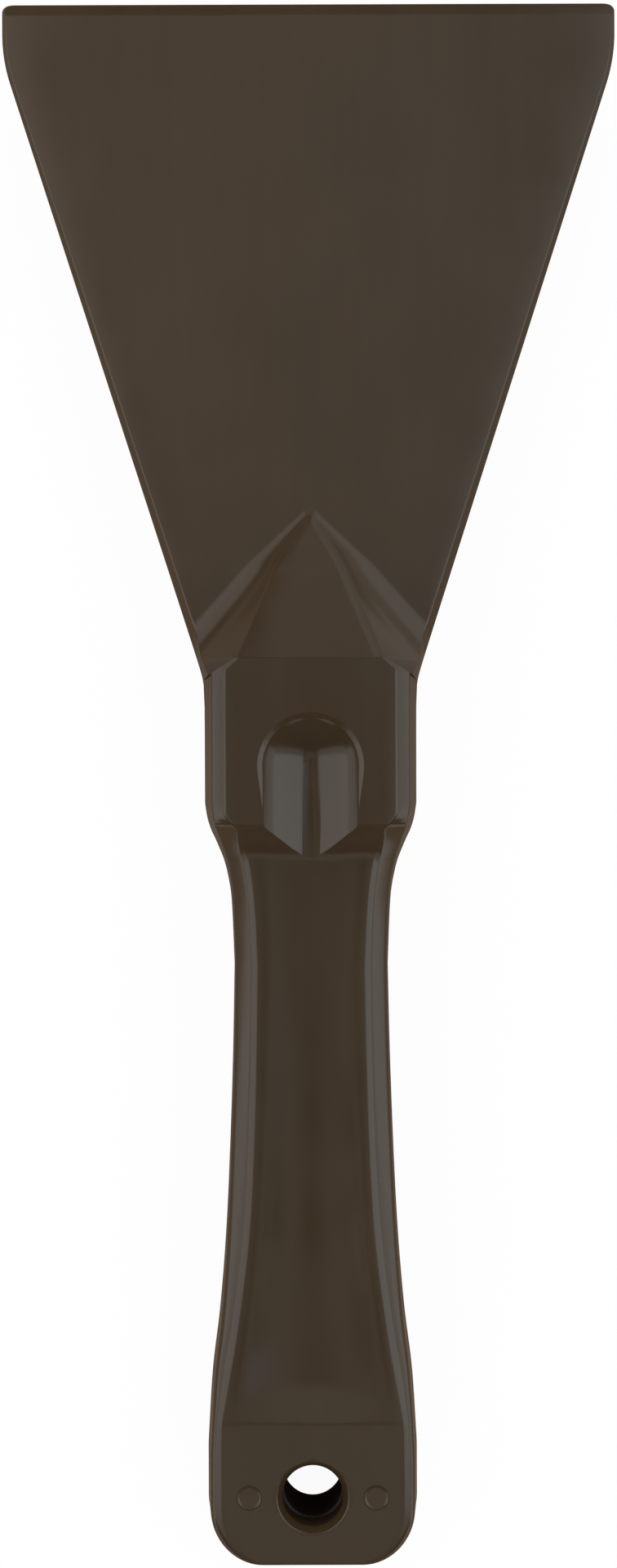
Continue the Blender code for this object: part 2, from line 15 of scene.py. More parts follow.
import bmesh
import bpy
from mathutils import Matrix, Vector

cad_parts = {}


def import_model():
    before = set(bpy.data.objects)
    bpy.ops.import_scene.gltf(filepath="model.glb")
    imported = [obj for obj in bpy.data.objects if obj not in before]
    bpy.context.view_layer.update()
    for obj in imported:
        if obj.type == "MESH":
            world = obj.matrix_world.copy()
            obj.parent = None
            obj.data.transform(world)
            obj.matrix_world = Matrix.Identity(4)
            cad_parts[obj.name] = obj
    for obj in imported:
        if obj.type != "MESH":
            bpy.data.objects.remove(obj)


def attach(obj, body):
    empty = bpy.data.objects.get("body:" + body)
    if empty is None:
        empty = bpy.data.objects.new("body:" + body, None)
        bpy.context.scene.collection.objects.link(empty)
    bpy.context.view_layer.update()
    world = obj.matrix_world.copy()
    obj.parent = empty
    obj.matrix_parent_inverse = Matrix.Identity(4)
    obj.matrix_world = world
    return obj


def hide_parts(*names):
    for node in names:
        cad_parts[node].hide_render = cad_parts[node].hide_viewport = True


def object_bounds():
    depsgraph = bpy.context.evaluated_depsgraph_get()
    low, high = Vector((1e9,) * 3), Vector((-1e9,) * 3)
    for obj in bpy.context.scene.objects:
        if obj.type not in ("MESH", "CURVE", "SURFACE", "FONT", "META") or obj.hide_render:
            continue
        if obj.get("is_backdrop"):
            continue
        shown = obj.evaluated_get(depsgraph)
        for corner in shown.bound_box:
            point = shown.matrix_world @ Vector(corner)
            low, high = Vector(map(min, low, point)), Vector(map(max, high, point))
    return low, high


LOG = logging.getLogger("scraper")
BODY = "root"
QUARTER_TURN = pi / 2

# Points closer than this are one point.
MERGE = 1e-6

# A normal with at least this much of itself along an axis points straight along it.
STRAIGHT = 0.999

# Steps of the mean that rounds a measure's corners.
EASE_STEPS = 6

# Range that nearly all values of Blender's noise keep to.
NOISE_RANGE = (0.2, 0.8)

WHITE = (1.0, 1.0, 1.0)
WARM = (1.0, 0.985, 0.97)
COOL = (0.92, 0.98, 1.0)
BLUE = (0.48, 0.72, 1.0)

Keys = tuple[tuple[float, float], ...]
Measure = Callable[[float], float]
Place = tuple[float, float]
Triple = tuple[float, float, float]
Thing = bpy.types.Object
Socket = bpy.types.NodeSocket


class Side(Enum):
    """Left or right half of the tool, seen from the front with the blade up."""

    LEFT = -1
    RIGHT = 1


class Face(Enum):
    """Front, which is up here, or back."""

    FRONT = 1
    BACK = -1


class Part(Enum):
    """What a mesh is made of, with the name of its list in an open mesh."""

    VERT = "verts"
    EDGE = "edges"
    FACE = "faces"


class Boolean(Enum):
    """What a second shape does to a piece."""

    CUT = "DIFFERENCE"
    JOIN = "UNION"


class Ramp(Enum):
    """How a value runs from one end of a range to the other."""

    EVEN = "LINEAR"
    SOFT = "SMOOTHSTEP"
    SOFTER = "SMOOTHERSTEP"


def between(start: float, end: float, share: float) -> float:
    """Value that lies a share of the way from start to end.

    Args:
        start: Value at share 0.
        end: Value at share 1.
        share: How far along the value lies.

    Returns:
        The value between the two.
    """
    return start + (end - start) * share


def spread(start: float, end: float, count: int) -> list[float]:
    """Values from start to end, both included, in equal steps.

    Args:
        start: First value.
        end: Last value.
        count: Number of steps.

    Returns:
        One more value than there are steps.
    """
    return [between(start, end, step / count) for step in range(count + 1)]


def stepped(start: float, stretches: Sequence[tuple[float, int]]) -> list[float]:
    """Places along the tool, in stretches that each have their own number of steps.

    Args:
        start: Where the first stretch starts.
        stretches: Where each stretch ends, and its number of steps.

    Returns:
        All places, the first one included.
    """
    found = [start]
    for end, steps in stretches:
        found += spread(found[-1], end, steps)[1:]
    return found


def clamped(share: float) -> float:
    """Share held between 0 and 1."""
    return min(1.0, max(0.0, share))


def flow(keys: Keys, share: float) -> float:
    """Value on a smooth curve through a few keys, which never overshoots them.

    Args:
        keys: Pairs of a share and the value there.
        share: Where the curve is read.

    Returns:
        The curve's value at that share.
    """
    slopes = [(b[1] - a[1]) / (b[0] - a[0]) for a, b in zip(keys, keys[1:])]
    inner = [0.0 if a * b <= 0 else 2 * a * b / (a + b) for a, b in zip(slopes, slopes[1:])]
    tangents = [slopes[0], *inner, slopes[-1]]
    share = min(max(share, keys[0][0]), keys[-1][0])
    index = min(sum(share > key[0] for key in keys[1:]), len(slopes) - 1)
    (x0, y0), (x1, y1) = keys[index], keys[index + 1]
    step = x1 - x0
    t = (share - x0) / step
    return (
        (1 + 2 * t) * (1 - t) ** 2 * y0
        + t * (1 - t) ** 2 * step * tangents[index]
        + t * t * (3 - 2 * t) * y1
        + t * t * (t - 1) * step * tangents[index + 1]
    )


def eased(measure: Measure, at: float, reach: float) -> float:
    """Mean of a measure about a place, which rounds its corners along the tool.

    Args:
        measure: Size as a function of the place along the tool.
        at: Place where the size is wanted.
        reach: How far the rounding reaches to each side.

    Returns:
        The size with its corners rounded.
    """
    samples = spread(at - reach, at + reach, EASE_STEPS)
    return sum(measure(sample) for sample in samples) / len(samples)


def soft_corner(before: Place, corner: Place, after: Place, reach: float, steps: int) -> list[Place]:
    """Points of a rounded corner between two straight stretches of a section.

    Args:
        before: Point that the first stretch comes from.
        corner: Sharp corner.
        after: Point that the second stretch goes to.
        reach: How far from the corner the rounding starts on each stretch.
        steps: Number of steps round the corner.

    Returns:
        Points from the rounding's start to its end.
    """
    point = Vector(corner)
    start = point + (Vector(before) - point).normalized() * reach
    end = point + (Vector(after) - point).normalized() * reach
    shares = spread(0, 1, steps)
    rounded = [start * (1 - t) ** 2 + point * (2 * t * (1 - t)) + end * t * t for t in shares]
    return [(place.x, place.y) for place in rounded]


def mirrored_ring(quarter: Sequence[Vector]) -> list[Vector]:
    """Whole cross-section from the points of its front right quarter.

    Args:
        quarter: Points from the middle of the front to the middle of the right side.

    Returns:
        Points once round the section, from the middle of the front.
    """
    right = [*quarter, *(Vector((p.x, p.y, -p.z)) for p in reversed(quarter[:-1]))]
    return [*right, *(Vector((-p.x, p.y, p.z)) for p in reversed(right[1:-1]))]


def ring_at(at: float, quarter: Sequence[Place]) -> list[Vector]:
    """Whole cross-section that lies in one plane across the tool.

    Args:
        at: Place along the tool.
        quarter: X and height of the points of its front right quarter.

    Returns:
        Points once round the section, from the middle of the front.
    """
    return mirrored_ring([Vector((x, at, z)) for x, z in quarter])


def looks_to(face: Face) -> Callable[[bmesh.types.BMFace], bool]:
    """Test for flat ends that look straight to the front or to the back.

    Args:
        face: Front or back.

    Returns:
        Function that says whether a face of an open mesh looks that way.
    """
    return lambda flat: face.value * flat.normal.z > STRAIGHT


def opaque(colour: Triple) -> tuple[float, ...]:
    """Colour with the fourth value that Blender's sockets want."""
    return (*colour, 1.0)


@dataclass
class Bench:
    """Bench that every piece is modelled on, with the tool's own datum.

    Attributes:
        datum: Middle of the butt end, which every piece is measured from.
    """

    datum: Vector

    def pick(self, thing: Thing) -> None:
        """Makes one object the only one that operators act on.

        Args:
            thing: Object to pick.
        """
        bpy.ops.object.select_all(action="DESELECT")
        thing.select_set(True)
        bpy.context.view_layer.objects.active = thing

    def added(
        self, name: str, primitive: Callable[..., set[str]], place: Sequence[float], **sizes: float | str
    ) -> Thing:
        """Adds a primitive with nothing else selected.

        Args:
            name: Name for the object and its mesh.
            primitive: Operator that adds it.
            place: Where its middle is, in the frame.
            sizes: Sizes and options that the operator takes.

        Returns:
            The new object.
        """
        bpy.ops.object.select_all(action="DESELECT")
        primitive(location=place, **sizes)
        thing = bpy.context.active_object
        thing.name = thing.data.name = name
        return thing

    @contextmanager
    def opened(
        self, thing: Thing, part: Part = Part.FACE, wanted: Callable[..., bool] | None = None
    ) -> Iterator[bmesh.types.BMesh]:
        """Opens a piece in edit mode with what is wanted of it selected, and closes it again.

        Args:
            thing: Piece to open.
            part: What is selected one by one: vertices, edges or faces.
            wanted: Says whether one of them is to be selected. Without it, everything is.

        Yields:
            The open mesh.
        """
        self.pick(thing)
        bpy.ops.object.mode_set(mode="EDIT")
        bpy.ops.mesh.select_mode(type=part.name)
        bpy.ops.mesh.select_all(action="DESELECT" if wanted else "SELECT")
        shape = bmesh.from_edit_mesh(thing.data)
        if wanted:
            for element in getattr(shape, part.value):
                if wanted(element):
                    element.select_set(True)
            bmesh.update_edit_mesh(thing.data)
        yield shape
        bpy.ops.object.mode_set(mode="OBJECT")

    def lofted(self, name: str, rings: Sequence[Sequence[Vector]]) -> Thing:
        """Skin over a row of cross-sections, each extruded from the last. Its ends stay open.

        Args:
            name: Name of the piece.
            rings: Cross-sections with equal counts of points, in order along the tool.

        Returns:
            The piece, measured from the datum.
        """
        circle = bpy.ops.mesh.primitive_circle_add
        thing = self.added(name, circle, self.datum, vertices=len(rings[0]), radius=1.0)
        with self.opened(thing, Part.VERT) as shape:
            row = list(shape.verts)
            for index, ring in enumerate(rings):
                if index:
                    bpy.ops.mesh.extrude_edges_move()
                    row = [self._extruded_from(vert) for vert in row]
                for vert, point in zip(row, ring):
                    vert.co = point
            bmesh.update_edit_mesh(thing.data)
        return thing

    def _extruded_from(self, vert: bmesh.types.BMVert) -> bmesh.types.BMVert:
        """Vertex that the last extrusion made from this one."""
        return next(edge.other_vert(vert) for edge in vert.link_edges if edge.other_vert(vert).select)

    def capped(self, thing: Thing, at: float) -> None:
        """Closes the open end of a form that lies in one plane across the tool.

        Args:
            thing: Piece with open ends.
            at: Where the end is.
        """

        def round_end(edge: bmesh.types.BMEdge) -> bool:
            """Whether an edge runs round that end."""
            return edge.is_boundary and all(abs(vert.co.y - at) < MERGE for vert in edge.verts)

        with self.opened(thing, Part.EDGE, round_end):
            bpy.ops.mesh.edge_face_add()

    def closed_loft(self, name: str, rings: Sequence[Sequence[Vector]]) -> Thing:
        """Closed skin over a row of cross-sections whose first and last are flat.

        Args:
            name: Name of the piece.
            rings: Cross-sections with equal counts of points, in order along the tool.

        Returns:
            The piece, measured from the datum.
        """
        thing = self.lofted(name, rings)
        for end in (rings[0], rings[-1]):
            self.capped(thing, end[0].y)
        self.welded(thing)
        return thing

    def trimmed(self, thing: Thing, point: Vector, normal: Vector) -> None:
        """Cuts off what lies past a plane, and closes the cut.

        Args:
            thing: Piece to cut.
            point: Point on the plane, measured from the datum.
            normal: Direction of what is cut off.
        """
        place = self.datum + point
        with self.opened(thing):
            bpy.ops.mesh.bisect(
                plane_co=place, plane_no=normal, use_fill=True, clear_outer=True, threshold=MERGE
            )

    def welded(self, thing: Thing) -> None:
        """Merges doubled points and turns every face outwards.

        Args:
            thing: Piece to weld.
        """
        with self.opened(thing):
            bpy.ops.mesh.remove_doubles(threshold=MERGE)
            bpy.ops.mesh.normals_make_consistent(inside=False)

    def combined(self, thing: Thing, other: Thing, how: Boolean = Boolean.CUT) -> None:
        """Cuts another shape out of a piece, or joins it on, and clears the other shape away.

        Args:
            thing: Piece that stays.
            other: Shape that is used up.
            how: Whether the shape is cut out or joined on.
        """
        self.pick(thing)
        modifier = thing.modifiers.new(other.name, "BOOLEAN")
        modifier.operation = how.value
        modifier.solver = "EXACT"
        modifier.object = other
        bpy.ops.object.modifier_apply(modifier=modifier.name)
        bpy.data.objects.remove(other, do_unlink=True)

    def finished(self, thing: Thing, smooth_angle: float) -> Thing:
        """Shades a piece and puts its place into its mesh.

        Args:
            thing: Piece to finish.
            smooth_angle: Edges flatter than this are shaded smooth.

        Returns:
            The same piece, at the origin.
        """
        self.pick(thing)
        bpy.ops.object.shade_smooth_by_angle(angle=smooth_angle)
        bpy.ops.object.transform_apply(location=True, rotation=True, scale=True)
        return thing


@dataclass(frozen=True)
class Wiring:
    """Nodes of a material or of the room, and the links between them.

    Attributes:
        tree: Node tree that they are in.
    """

    tree: bpy.types.NodeTree

    def feed(self, node: bpy.types.Node, inputs: dict[str | int, object]) -> None:
        """Fills the inputs of a node.

        Args:
            node: Node to fill.
            inputs: For each input, its value or the socket that it is linked to.
        """
        for name, value in inputs.items():
            if isinstance(value, Socket):
                self.tree.links.new(value, node.inputs[name])
            else:
                node.inputs[name].default_value = value

    def node(self, kind: str, inputs: dict[str | int, object], **settings: str) -> bpy.types.Node:
        """Adds a node and fills its inputs.

        Args:
            kind: Kind of node.
            inputs: For each input, its value or the socket that it is linked to.
            settings: Settings of the node itself.

        Returns:
            The new node.
        """
        node = self.tree.nodes.new(kind)
        for name, value in settings.items():
            setattr(node, name, value)
        self.feed(node, inputs)
        return node

    def reckoned(self, operation: str, *values: Socket | float) -> Socket:
        """Result of reckoning with one or two values.

        Args:
            operation: What is done with them.
            values: Their sockets, or plain numbers.

        Returns:
            The result's socket.
        """
        node = self.node("ShaderNodeMath", dict(enumerate(values)), operation=operation)
        return node.outputs["Value"]

    def ranged(
        self, value: Socket, start: Place, end: Place = (0.0, 1.0), ramp: Ramp = Ramp.EVEN
    ) -> Socket:
        """Value brought from one range into another.

        Args:
            value: Socket of the value.
            start: Range that it comes in.
            end: Range that it is brought into.
            ramp: How it runs from end to end.

        Returns:
            The new value's socket.
        """
        ends = {"From Min": start[0], "From Max": start[1], "To Min": end[0], "To Max": end[1]}
        node = self.node("ShaderNodeMapRange", {"Value": value, **ends}, interpolation_type=ramp.value)
        return node.outputs["Result"]

    def place(self) -> Socket:
        """Place on the piece, in metres."""
        return self.node("ShaderNodeTexCoord", {}).outputs["Object"]

    def seen_or_lit(self, output: str, lit: Socket, seen: Socket) -> None:
        """Shows one shader to the light and another to the camera.

        Args:
            output: Name of the output node.
            lit: Shader that the light meets.
            seen: Shader that the camera sees.
        """
        camera_ray = self.node("ShaderNodeLightPath", {}).outputs["Is Camera Ray"]
        choice = self.node("ShaderNodeMixShader", {"Fac": camera_ray, 1: lit, 2: seen})
        self.feed(self.tree.nodes[output], {"Surface": choice.outputs["Shader"]})


@dataclass(frozen=True)
class MouldedNylon:
    """Satin moulded nylon, faintly cloudy from the way it flowed into the mould.

    Attributes:
        name: Name of the material.
        colour: Colour of the nylon, on the left.
        right_colour: Its colour on the right.
        drift: Places across the tool between which the one drifts into the other.
        cloud: How much lighter or darker the broad clouds are.
        streak: How much lighter or darker the flow streaks along the tool are.
        roughness: Roughness of the satin skin.
        patchiness: How much the roughness changes from patch to patch.
        ior: Index of refraction of the nylon.
        cloud_scale: Clouds in a metre.
        patch_scale: Patches of roughness in a metre.
        broad_detail: Finer layers in the clouds and patches.
        streak_scale: Streaks in a metre, across the tool and along it.
        grain_scale: Grains of the skin in a metre.
        grain_depth: Depth of the skin's grain.
        wave_scale: Broad waves of the skin in a metre.
        wave_depth: Depth of the waves.
        fine_detail: Finer layers in the streaks, waves and grain.
    """

    name: str
    colour: Triple
    right_colour: Triple
    drift: Place = (-0.045, 0.045)
    cloud: float = 0.05
    streak: float = 0.03
    roughness: float = 0.17
    patchiness: float = 0.025
    ior: float = 1.54
    cloud_scale: float = 38.0
    patch_scale: float = 76.0
    broad_detail: float = 1.0
    streak_scale: Place = (420.0, 26.0)
    grain_scale: float = 2600.0
    grain_depth: float = 0.0000008
    wave_scale: float = 90.0
    wave_depth: float = 0.000004
    fine_detail: float = 2.0

    def noise(self, wiring: Wiring, scale: float, detail: float, lengthwise: float = 1.0) -> Socket:
        """Noise over the piece.

        Args:
            wiring: Nodes of the material.
            scale: Features in a metre.
            detail: How many finer layers it holds.
            lengthwise: Factor on the scale along the tool.

        Returns:
            The noise's value socket.
        """
        stretch = (1.0, lengthwise, 1.0)
        mapping = wiring.node("ShaderNodeMapping", {"Vector": wiring.place(), "Scale": stretch})
        inputs = {"Vector": mapping.outputs["Vector"], "Scale": scale, "Detail": detail}
        return wiring.node("ShaderNodeTexNoise", inputs).outputs["Fac"]

    def about(self, wiring: Wiring, noise: Socket, middle: float, change: float) -> Socket:
        """Value that a noise makes larger and smaller.

        Args:
            wiring: Nodes of the material.
            noise: Value socket of the noise.
            middle: Value that it changes about.
            change: How far it changes either way.

        Returns:
            The value's socket.
        """
        return wiring.ranged(noise, NOISE_RANGE, (middle - change, middle + change), Ramp.SOFTER)

    def made(self) -> bpy.types.Material:
        """Material with the nylon's colour, skin and clouds.

        Returns:
            The new material.
        """
        material = bpy.data.materials.new(self.name)
        material.use_nodes = True
        material.diffuse_color = opaque(self.colour)
        wiring = Wiring(material.node_tree)
        across, along = self.streak_scale
        clouds = self.noise(wiring, self.cloud_scale, self.broad_detail)
        streaks = self.noise(wiring, across, self.fine_detail, along / across)
        shade = wiring.reckoned(
            "MULTIPLY",
            self.about(wiring, clouds, 1.0, self.cloud),
            self.about(wiring, streaks, 1.0, self.streak),
        )
        sides = wiring.node("ShaderNodeSeparateXYZ", {"Vector": wiring.place()}).outputs["X"]
        # Colour drifts across the tool from the left's colour to the right's.
        drift = {
            "Fac": wiring.ranged(sides, self.drift),
            "Color1": opaque(self.colour),
            "Color2": opaque(self.right_colour),
        }
        flat = wiring.node("ShaderNodeMixRGB", drift).outputs["Color"]
        tint = wiring.node("ShaderNodeVectorMath", {0: flat, "Scale": shade}, operation="SCALE")
        patches = self.noise(wiring, self.patch_scale, self.broad_detail)
        height = self.noise(wiring, self.wave_scale, self.fine_detail)
        waves = wiring.node("ShaderNodeBump", {"Height": height, "Distance": self.wave_depth})
        height = self.noise(wiring, self.grain_scale, self.fine_detail)
        grain = {"Height": height, "Distance": self.grain_depth, "Normal": waves.outputs["Normal"]}
        skin = {
            "Base Color": tint.outputs["Vector"],
            "Roughness": self.about(wiring, patches, self.roughness, self.patchiness),
            "IOR": self.ior,
            "Normal": wiring.node("ShaderNodeBump", grain).outputs["Normal"],
        }
        wiring.feed(material.node_tree.nodes["Principled BSDF"], skin)
        return material


@dataclass(kw_only=True)
class Piece:
    """Piece of the tool that stands for one node of the frame.

    Attributes:
        node: Node that it stands for.
        slot: Material slot of the record; not used.
        finish: Its nylon.
    """

    node: str
    slot: str
    finish: MouldedNylon

    def built(self, bench: Bench) -> Thing:
        """Mesh of the piece, which each kind of piece makes in its own way."""
        raise NotImplementedError

    def dressed(self, bench: Bench) -> None:
        """Builds the piece, and gives it its finish and its place in the frame.

        Args:
            bench: Bench to make it on.
        """
        thing = self.built(bench)
        thing.data.materials.clear()
        thing.data.materials.append(self.finish.made())
        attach(thing, BODY)
        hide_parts(self.node)
        LOG.info("%s: %d faces, stands for %s", thing.name, len(thing.data.polygons), self.node)


@dataclass(frozen=True)
class PartingLine:
    """Fine raised line along the sides, where the halves of the mould met.

    Attributes:
        foot: Half width of its foot.
        crest: Half width of its crest.
        rise: How far it stands out.
    """

    foot: float = 0.00012
    crest: float = 0.00004
    rise: float = 0.00004

    def foot_at(self, side: float) -> Place:
        """Point where the line rises from the side face."""
        return (side - self.rise, self.foot)

    def crest_at(self, side: float) -> list[Place]:
        """Points from the line's crest to the middle of the thickness."""
        return [(side, self.crest), (side, 0.0)]


@dataclass
class Core:
    """Core that the blade's root carries through the handle, with room for the hang hole.

    Attributes:
        start: Butt end to the core's end.
        top: Butt end to where the core ends inside the wedge.
        thickness: Thickness of the core.
        root_width: Width inside the collar.
        waist_width: Width inside the grip's waist.
        eye_width: Width round the hang hole.
        eye_corner: Radius of the eye's corners.
        chamfer: Chamfer along the core's edges.
        hole_diameter: Diameter of the hang hole inside the core.
        corner_steps: Steps round the eye's corners.
        length_steps: Steps along the rest of the core.
    """

    start: float = 0.0030
    top: float = 0.1499
    thickness: float = 0.0092
    root_width: float = 0.0200
    waist_width: float = 0.0150
    eye_width: float = 0.0274
    eye_corner: float = 0.0060
    chamfer: float = 0.0010
    hole_diameter: float = 0.00934
    corner_steps: int = 12
    length_steps: int = 60

    def width_at(self, handle: "Handle", at: float) -> float:
        """Width of the core at a place inside the handle.

        Args:
            handle: Handle that the core follows.
            at: Place along the tool.

        Returns:
            Full width of the core.
        """
        if at > handle.waist_at:
            share = flow(handle.neck_face_flow, (handle.collar_foot_at - at) / handle.neck_length)
            return between(self.root_width, self.waist_width, share)
        share = flow(handle.grip_face_flow, handle.grip_share(at))
        return between(self.waist_width, self.eye_width, share)

    def lofted(self, bench: Bench, handle: "Handle", clearance: float) -> Thing:
        """Closed form of the core, or of the socket round it.

        Args:
            bench: Bench to make it on.
            handle: Handle that the core follows.
            clearance: How much larger than the core it is, all round.

        Returns:
            The form, measured from the datum.
        """
        corner = self.eye_corner + clearance
        start, top = self.start - clearance, self.top + clearance
        places = [start + corner * (1 - cos(turn)) for turn in spread(0, QUARTER_TURN, self.corner_steps)]
        places += spread(start + corner, top, self.length_steps)[1:]
        height = self.thickness / 2 + clearance
        rings = []
        for at in places:
            away = max(0.0, start + corner - at)
            half = self.width_at(handle, at) / 2 + clearance - corner + sqrt(max(0.0, corner**2 - away**2))
            edge = [(half - self.chamfer, height), (half, height - self.chamfer)]
            rings.append(ring_at(at, [(0.0, height), *edge, (half, 0.0)]))
        return bench.closed_loft("core", rings)


@dataclass(kw_only=True)
class Handle(Piece):
    """Collar with thumb rests, waisted grip and butt with the hang hole, in one moulding.

    A flow gives the share of a change that is done at a share of the way along it.

    Attributes:
        core: Core that its socket holds.
        parting: Parting line along its sides.
        length: Butt end to the collar's mouth.
        thickness: Thickness of collar and butt.
        collar_width: Width of the collar at the middle of its thickness.
        collar_length: Mouth to where the slope into the grip starts.
        collar_shoulder_width: Width at the top of the collar's side faces.
        collar_face_width: Width of the collar's flat face.
        collar_chamfer: Depth of the chamfers beside the flat face.
        collar_foot_width: Width of the flat face where the slope starts.
        collar_foot_cut: Length over which the face narrows to that width.
        collar_side_curve: How far before the slope the sides start to draw in.
        root_lap: How far before the mouth the blade's flare would start.
        root_flare: Angle between the blade's flaring sides and the tool's length.
        root_blend: Softness of the bend into the flare.
        mouth_flat: Width of the mouth between its cut corners.
        mouth_slant: How far the cut corners' faces are turned towards the sides.
        strip_start: How far behind the mouth the broken edges of its cut corners start.
        strip_slant: How far the faces of those edges are turned towards the sides.
        strip_tilt: How far they are tilted from flat.
        thumb_radius: Radius of the thumb rest.
        thumb_depth: Depth of the thumb rest's nose.
        thumb_nose: Mouth to the nose's middle.
        thumb_rise: How steeply the thumb rest climbs towards the grip.
        thumb_run: How far its cutter runs on behind the nose.
        thumb_rim_radius: Radius of the flatter hollow that softens the thumb rest's rim.
        thumb_rim_depth: Depth of that hollow.
        neck_length: Start of the slope to the waist.
        neck_thickness: Thickness at the end of the slope.
        neck_slope: Length of the slope.
        neck_dish: Depth of the face's hollow at the end of the slope.
        waist_width: Width of the waist at the middle of its thickness.
        waist_shoulder_width: Width at the top of the waist's side faces.
        waist_face_width: Width of the face at the waist.
        waist_thickness: Thickness of the waist.
        waist_dish: Depth of the face's hollow at the waist.
        low_grip_dish: Depth of the face's hollow in the lower grip.
        panel_border: Distance of the hollow from the face's edges.
        grip_chamfer: Depth of the chamfers beside the grip's face.
        butt_width: Width of the butt.
        butt_length: Length of the butt's flat face.
        butt_swell: How far behind the start of that face the butt has its full width.
        butt_corner_radius: Radius of the butt's two end corners.
        butt_draft: How far each side face leans in up to its top.
        butt_edge_radius: Rounding of the butt's long edges.
        end_edge_share: Rounding of the end's edge, as a share of theirs.
        hole_at: Butt end to the hang hole's middle.
        hole_diameter: Diameter of the hang hole.
        lip_width: Width of the hang hole's lip.
        lip_cone: Steepness of the lip's cone.
        lip_start: Steepness at the lip's outer edge.
        lip_radius: Radius of the rounding from the one to the other.
        pin_hole_diameter: Diameter of the pins' holes.
        pin_spacing: Distance between the middles of the two pins.
        ease: How far the edges across the tool are rounded.
        crest_share: Length of the closely cut stretch on each side of such an edge, in eases.
        crisp_reach: How far the collar's long edges are rounded.
        soft_reach: How far the grip's long edges are rounded.
        socket_clearance: Room between the core and its socket.
        cutter_reach: How far cutters stand out past the faces.
        smooth_angle: Edges flatter than this are shaded smooth.
        dish_run_out: Share of the grip over which the hollow runs out at the butt.
        edge_rounding: How late the chamfers turn into rounded edges, as a power.
        panel_steps: Steps across half the face.
        edge_steps: Steps round a long edge.
        corner_steps: Steps round an end corner.
        round_steps: Steps round a hole.
        lip_steps: Steps round the lip.
        neck_side_flow: How the sides draw in from the collar to the waist.
        neck_face_flow: How the face narrows there.
        neck_slope_flow: How the slope goes down.
        grip_side_flow: How the sides widen from the waist to the butt.
        grip_face_flow: How the face widens there.
        grip_rise_flow: How the face rises there.
        dish_flow: How the face's hollow deepens there.
    """

    node: str = "handle"
    slot: str = "handle_nylon"
    finish: MouldedNylon = MouldedNylon(
        "handle_nylon_skin", (0.0307, 0.0190, 0.0091), (0.0300, 0.0187, 0.0088)
    )
    core: Core = field(default_factory=Core)
    parting: PartingLine = PartingLine()
    length: float = 0.1449
    thickness: float = 0.0240
    collar_width: float = 0.0345
    collar_length: float = 0.02675
    collar_shoulder_width: float = 0.0317
    collar_face_width: float = 0.0275
    collar_chamfer: float = 0.0020
    collar_foot_width: float = 0.0244
    collar_foot_cut: float = 0.0017
    collar_side_curve: float = 0.0035
    root_lap: float = 0.0035
    root_flare: float = radians(17.85)
    root_blend: float = 0.00045
    mouth_flat: float = 0.0241
    mouth_slant: float = radians(31.5)
    strip_start: float = 0.0006
    strip_slant: float = radians(41.5)
    strip_tilt: float = radians(20.0)
    thumb_radius: float = 0.0104
    thumb_depth: float = 0.0038
    thumb_nose: float = 0.0172
    thumb_rise: float = radians(3.6)
    thumb_run: float = 0.0300
    thumb_rim_radius: float = 0.0200
    thumb_rim_depth: float = 0.00192
    neck_length: float = 0.02245
    neck_thickness: float = 0.0184
    neck_slope: float = 0.0058
    neck_dish: float = 0.0002
    waist_width: float = 0.0250
    waist_shoulder_width: float = 0.0244
    waist_face_width: float = 0.0186
    waist_thickness: float = 0.0177
    waist_dish: float = 0.0002
    low_grip_dish: float = 0.00058
    panel_border: float = 0.0015
    grip_chamfer: float = 0.0034
    butt_width: float = 0.0340
    butt_length: float = 0.0230
    butt_swell: float = 0.0053
    butt_corner_radius: float = 0.0090
    butt_draft: float = 0.00065
    butt_edge_radius: float = 0.0020
    end_edge_share: float = 0.3
    hole_at: float = 0.0112
    hole_diameter: float = 0.00974
    lip_width: float = 0.00095
    lip_cone: float = radians(62)
    lip_start: float = radians(10)
    lip_radius: float = 0.00035
    pin_hole_diameter: float = 0.0040
    pin_spacing: float = 0.02026
    ease: float = 0.0004
    crest_share: float = 1.5
    crisp_reach: float = 0.0003
    soft_reach: float = 0.0009
    socket_clearance: float = 0.00005
    cutter_reach: float = 0.0060
    smooth_angle: float = radians(16)
    dish_run_out: float = 0.08
    edge_rounding: int = 3
    panel_steps: int = 8
    edge_steps: int = 6
    corner_steps: int = 16
    round_steps: int = 96
    lip_steps: int = 8
    neck_side_flow: Keys = (
        (0.0, 0.0), (0.08, 0.07), (0.155, 0.19), (0.235, 0.39), (0.39, 0.71), (0.59, 0.90), (1.0, 1.0)
    )
    neck_face_flow: Keys = ((0.0, 0.0), (0.15, 0.35), (0.38, 0.68), (0.65, 0.88), (1.0, 1.0))
    neck_slope_flow: Keys = ((0.0, 0.0), (0.28, 0.52), (0.52, 0.79), (0.78, 0.95), (1.0, 1.0))
    grip_side_flow: Keys = (
        (0.0, 0.0), (0.17, 0.06), (0.445, 0.23), (0.58, 0.36), (0.72, 0.565), (0.855, 0.845), (1.0, 1.0)
    )
    grip_face_flow: Keys = ((0.0, 0.0), (0.20, 0.04), (0.54, 0.19), (0.80, 0.56), (1.0, 1.0))
    grip_rise_flow: Keys = ((0.0, 0.0), (0.25, 0.04), (0.54, 0.15), (0.80, 0.42), (0.92, 0.69), (1.0, 1.0))
    dish_flow: Keys = ((0.0, 0.0), (0.60, 0.8), (0.80, 1.0))

    @property
    def half(self) -> float:
        """Half thickness of collar and butt."""
        return self.thickness / 2

    @property
    def collar_foot_at(self) -> float:
        """Where the slope from the collar to the grip begins."""
        return self.length - self.collar_length

    @property
    def collar_side_end_at(self) -> float:
        """Where the collar's sides start to draw in."""
        return self.collar_foot_at + self.collar_side_curve

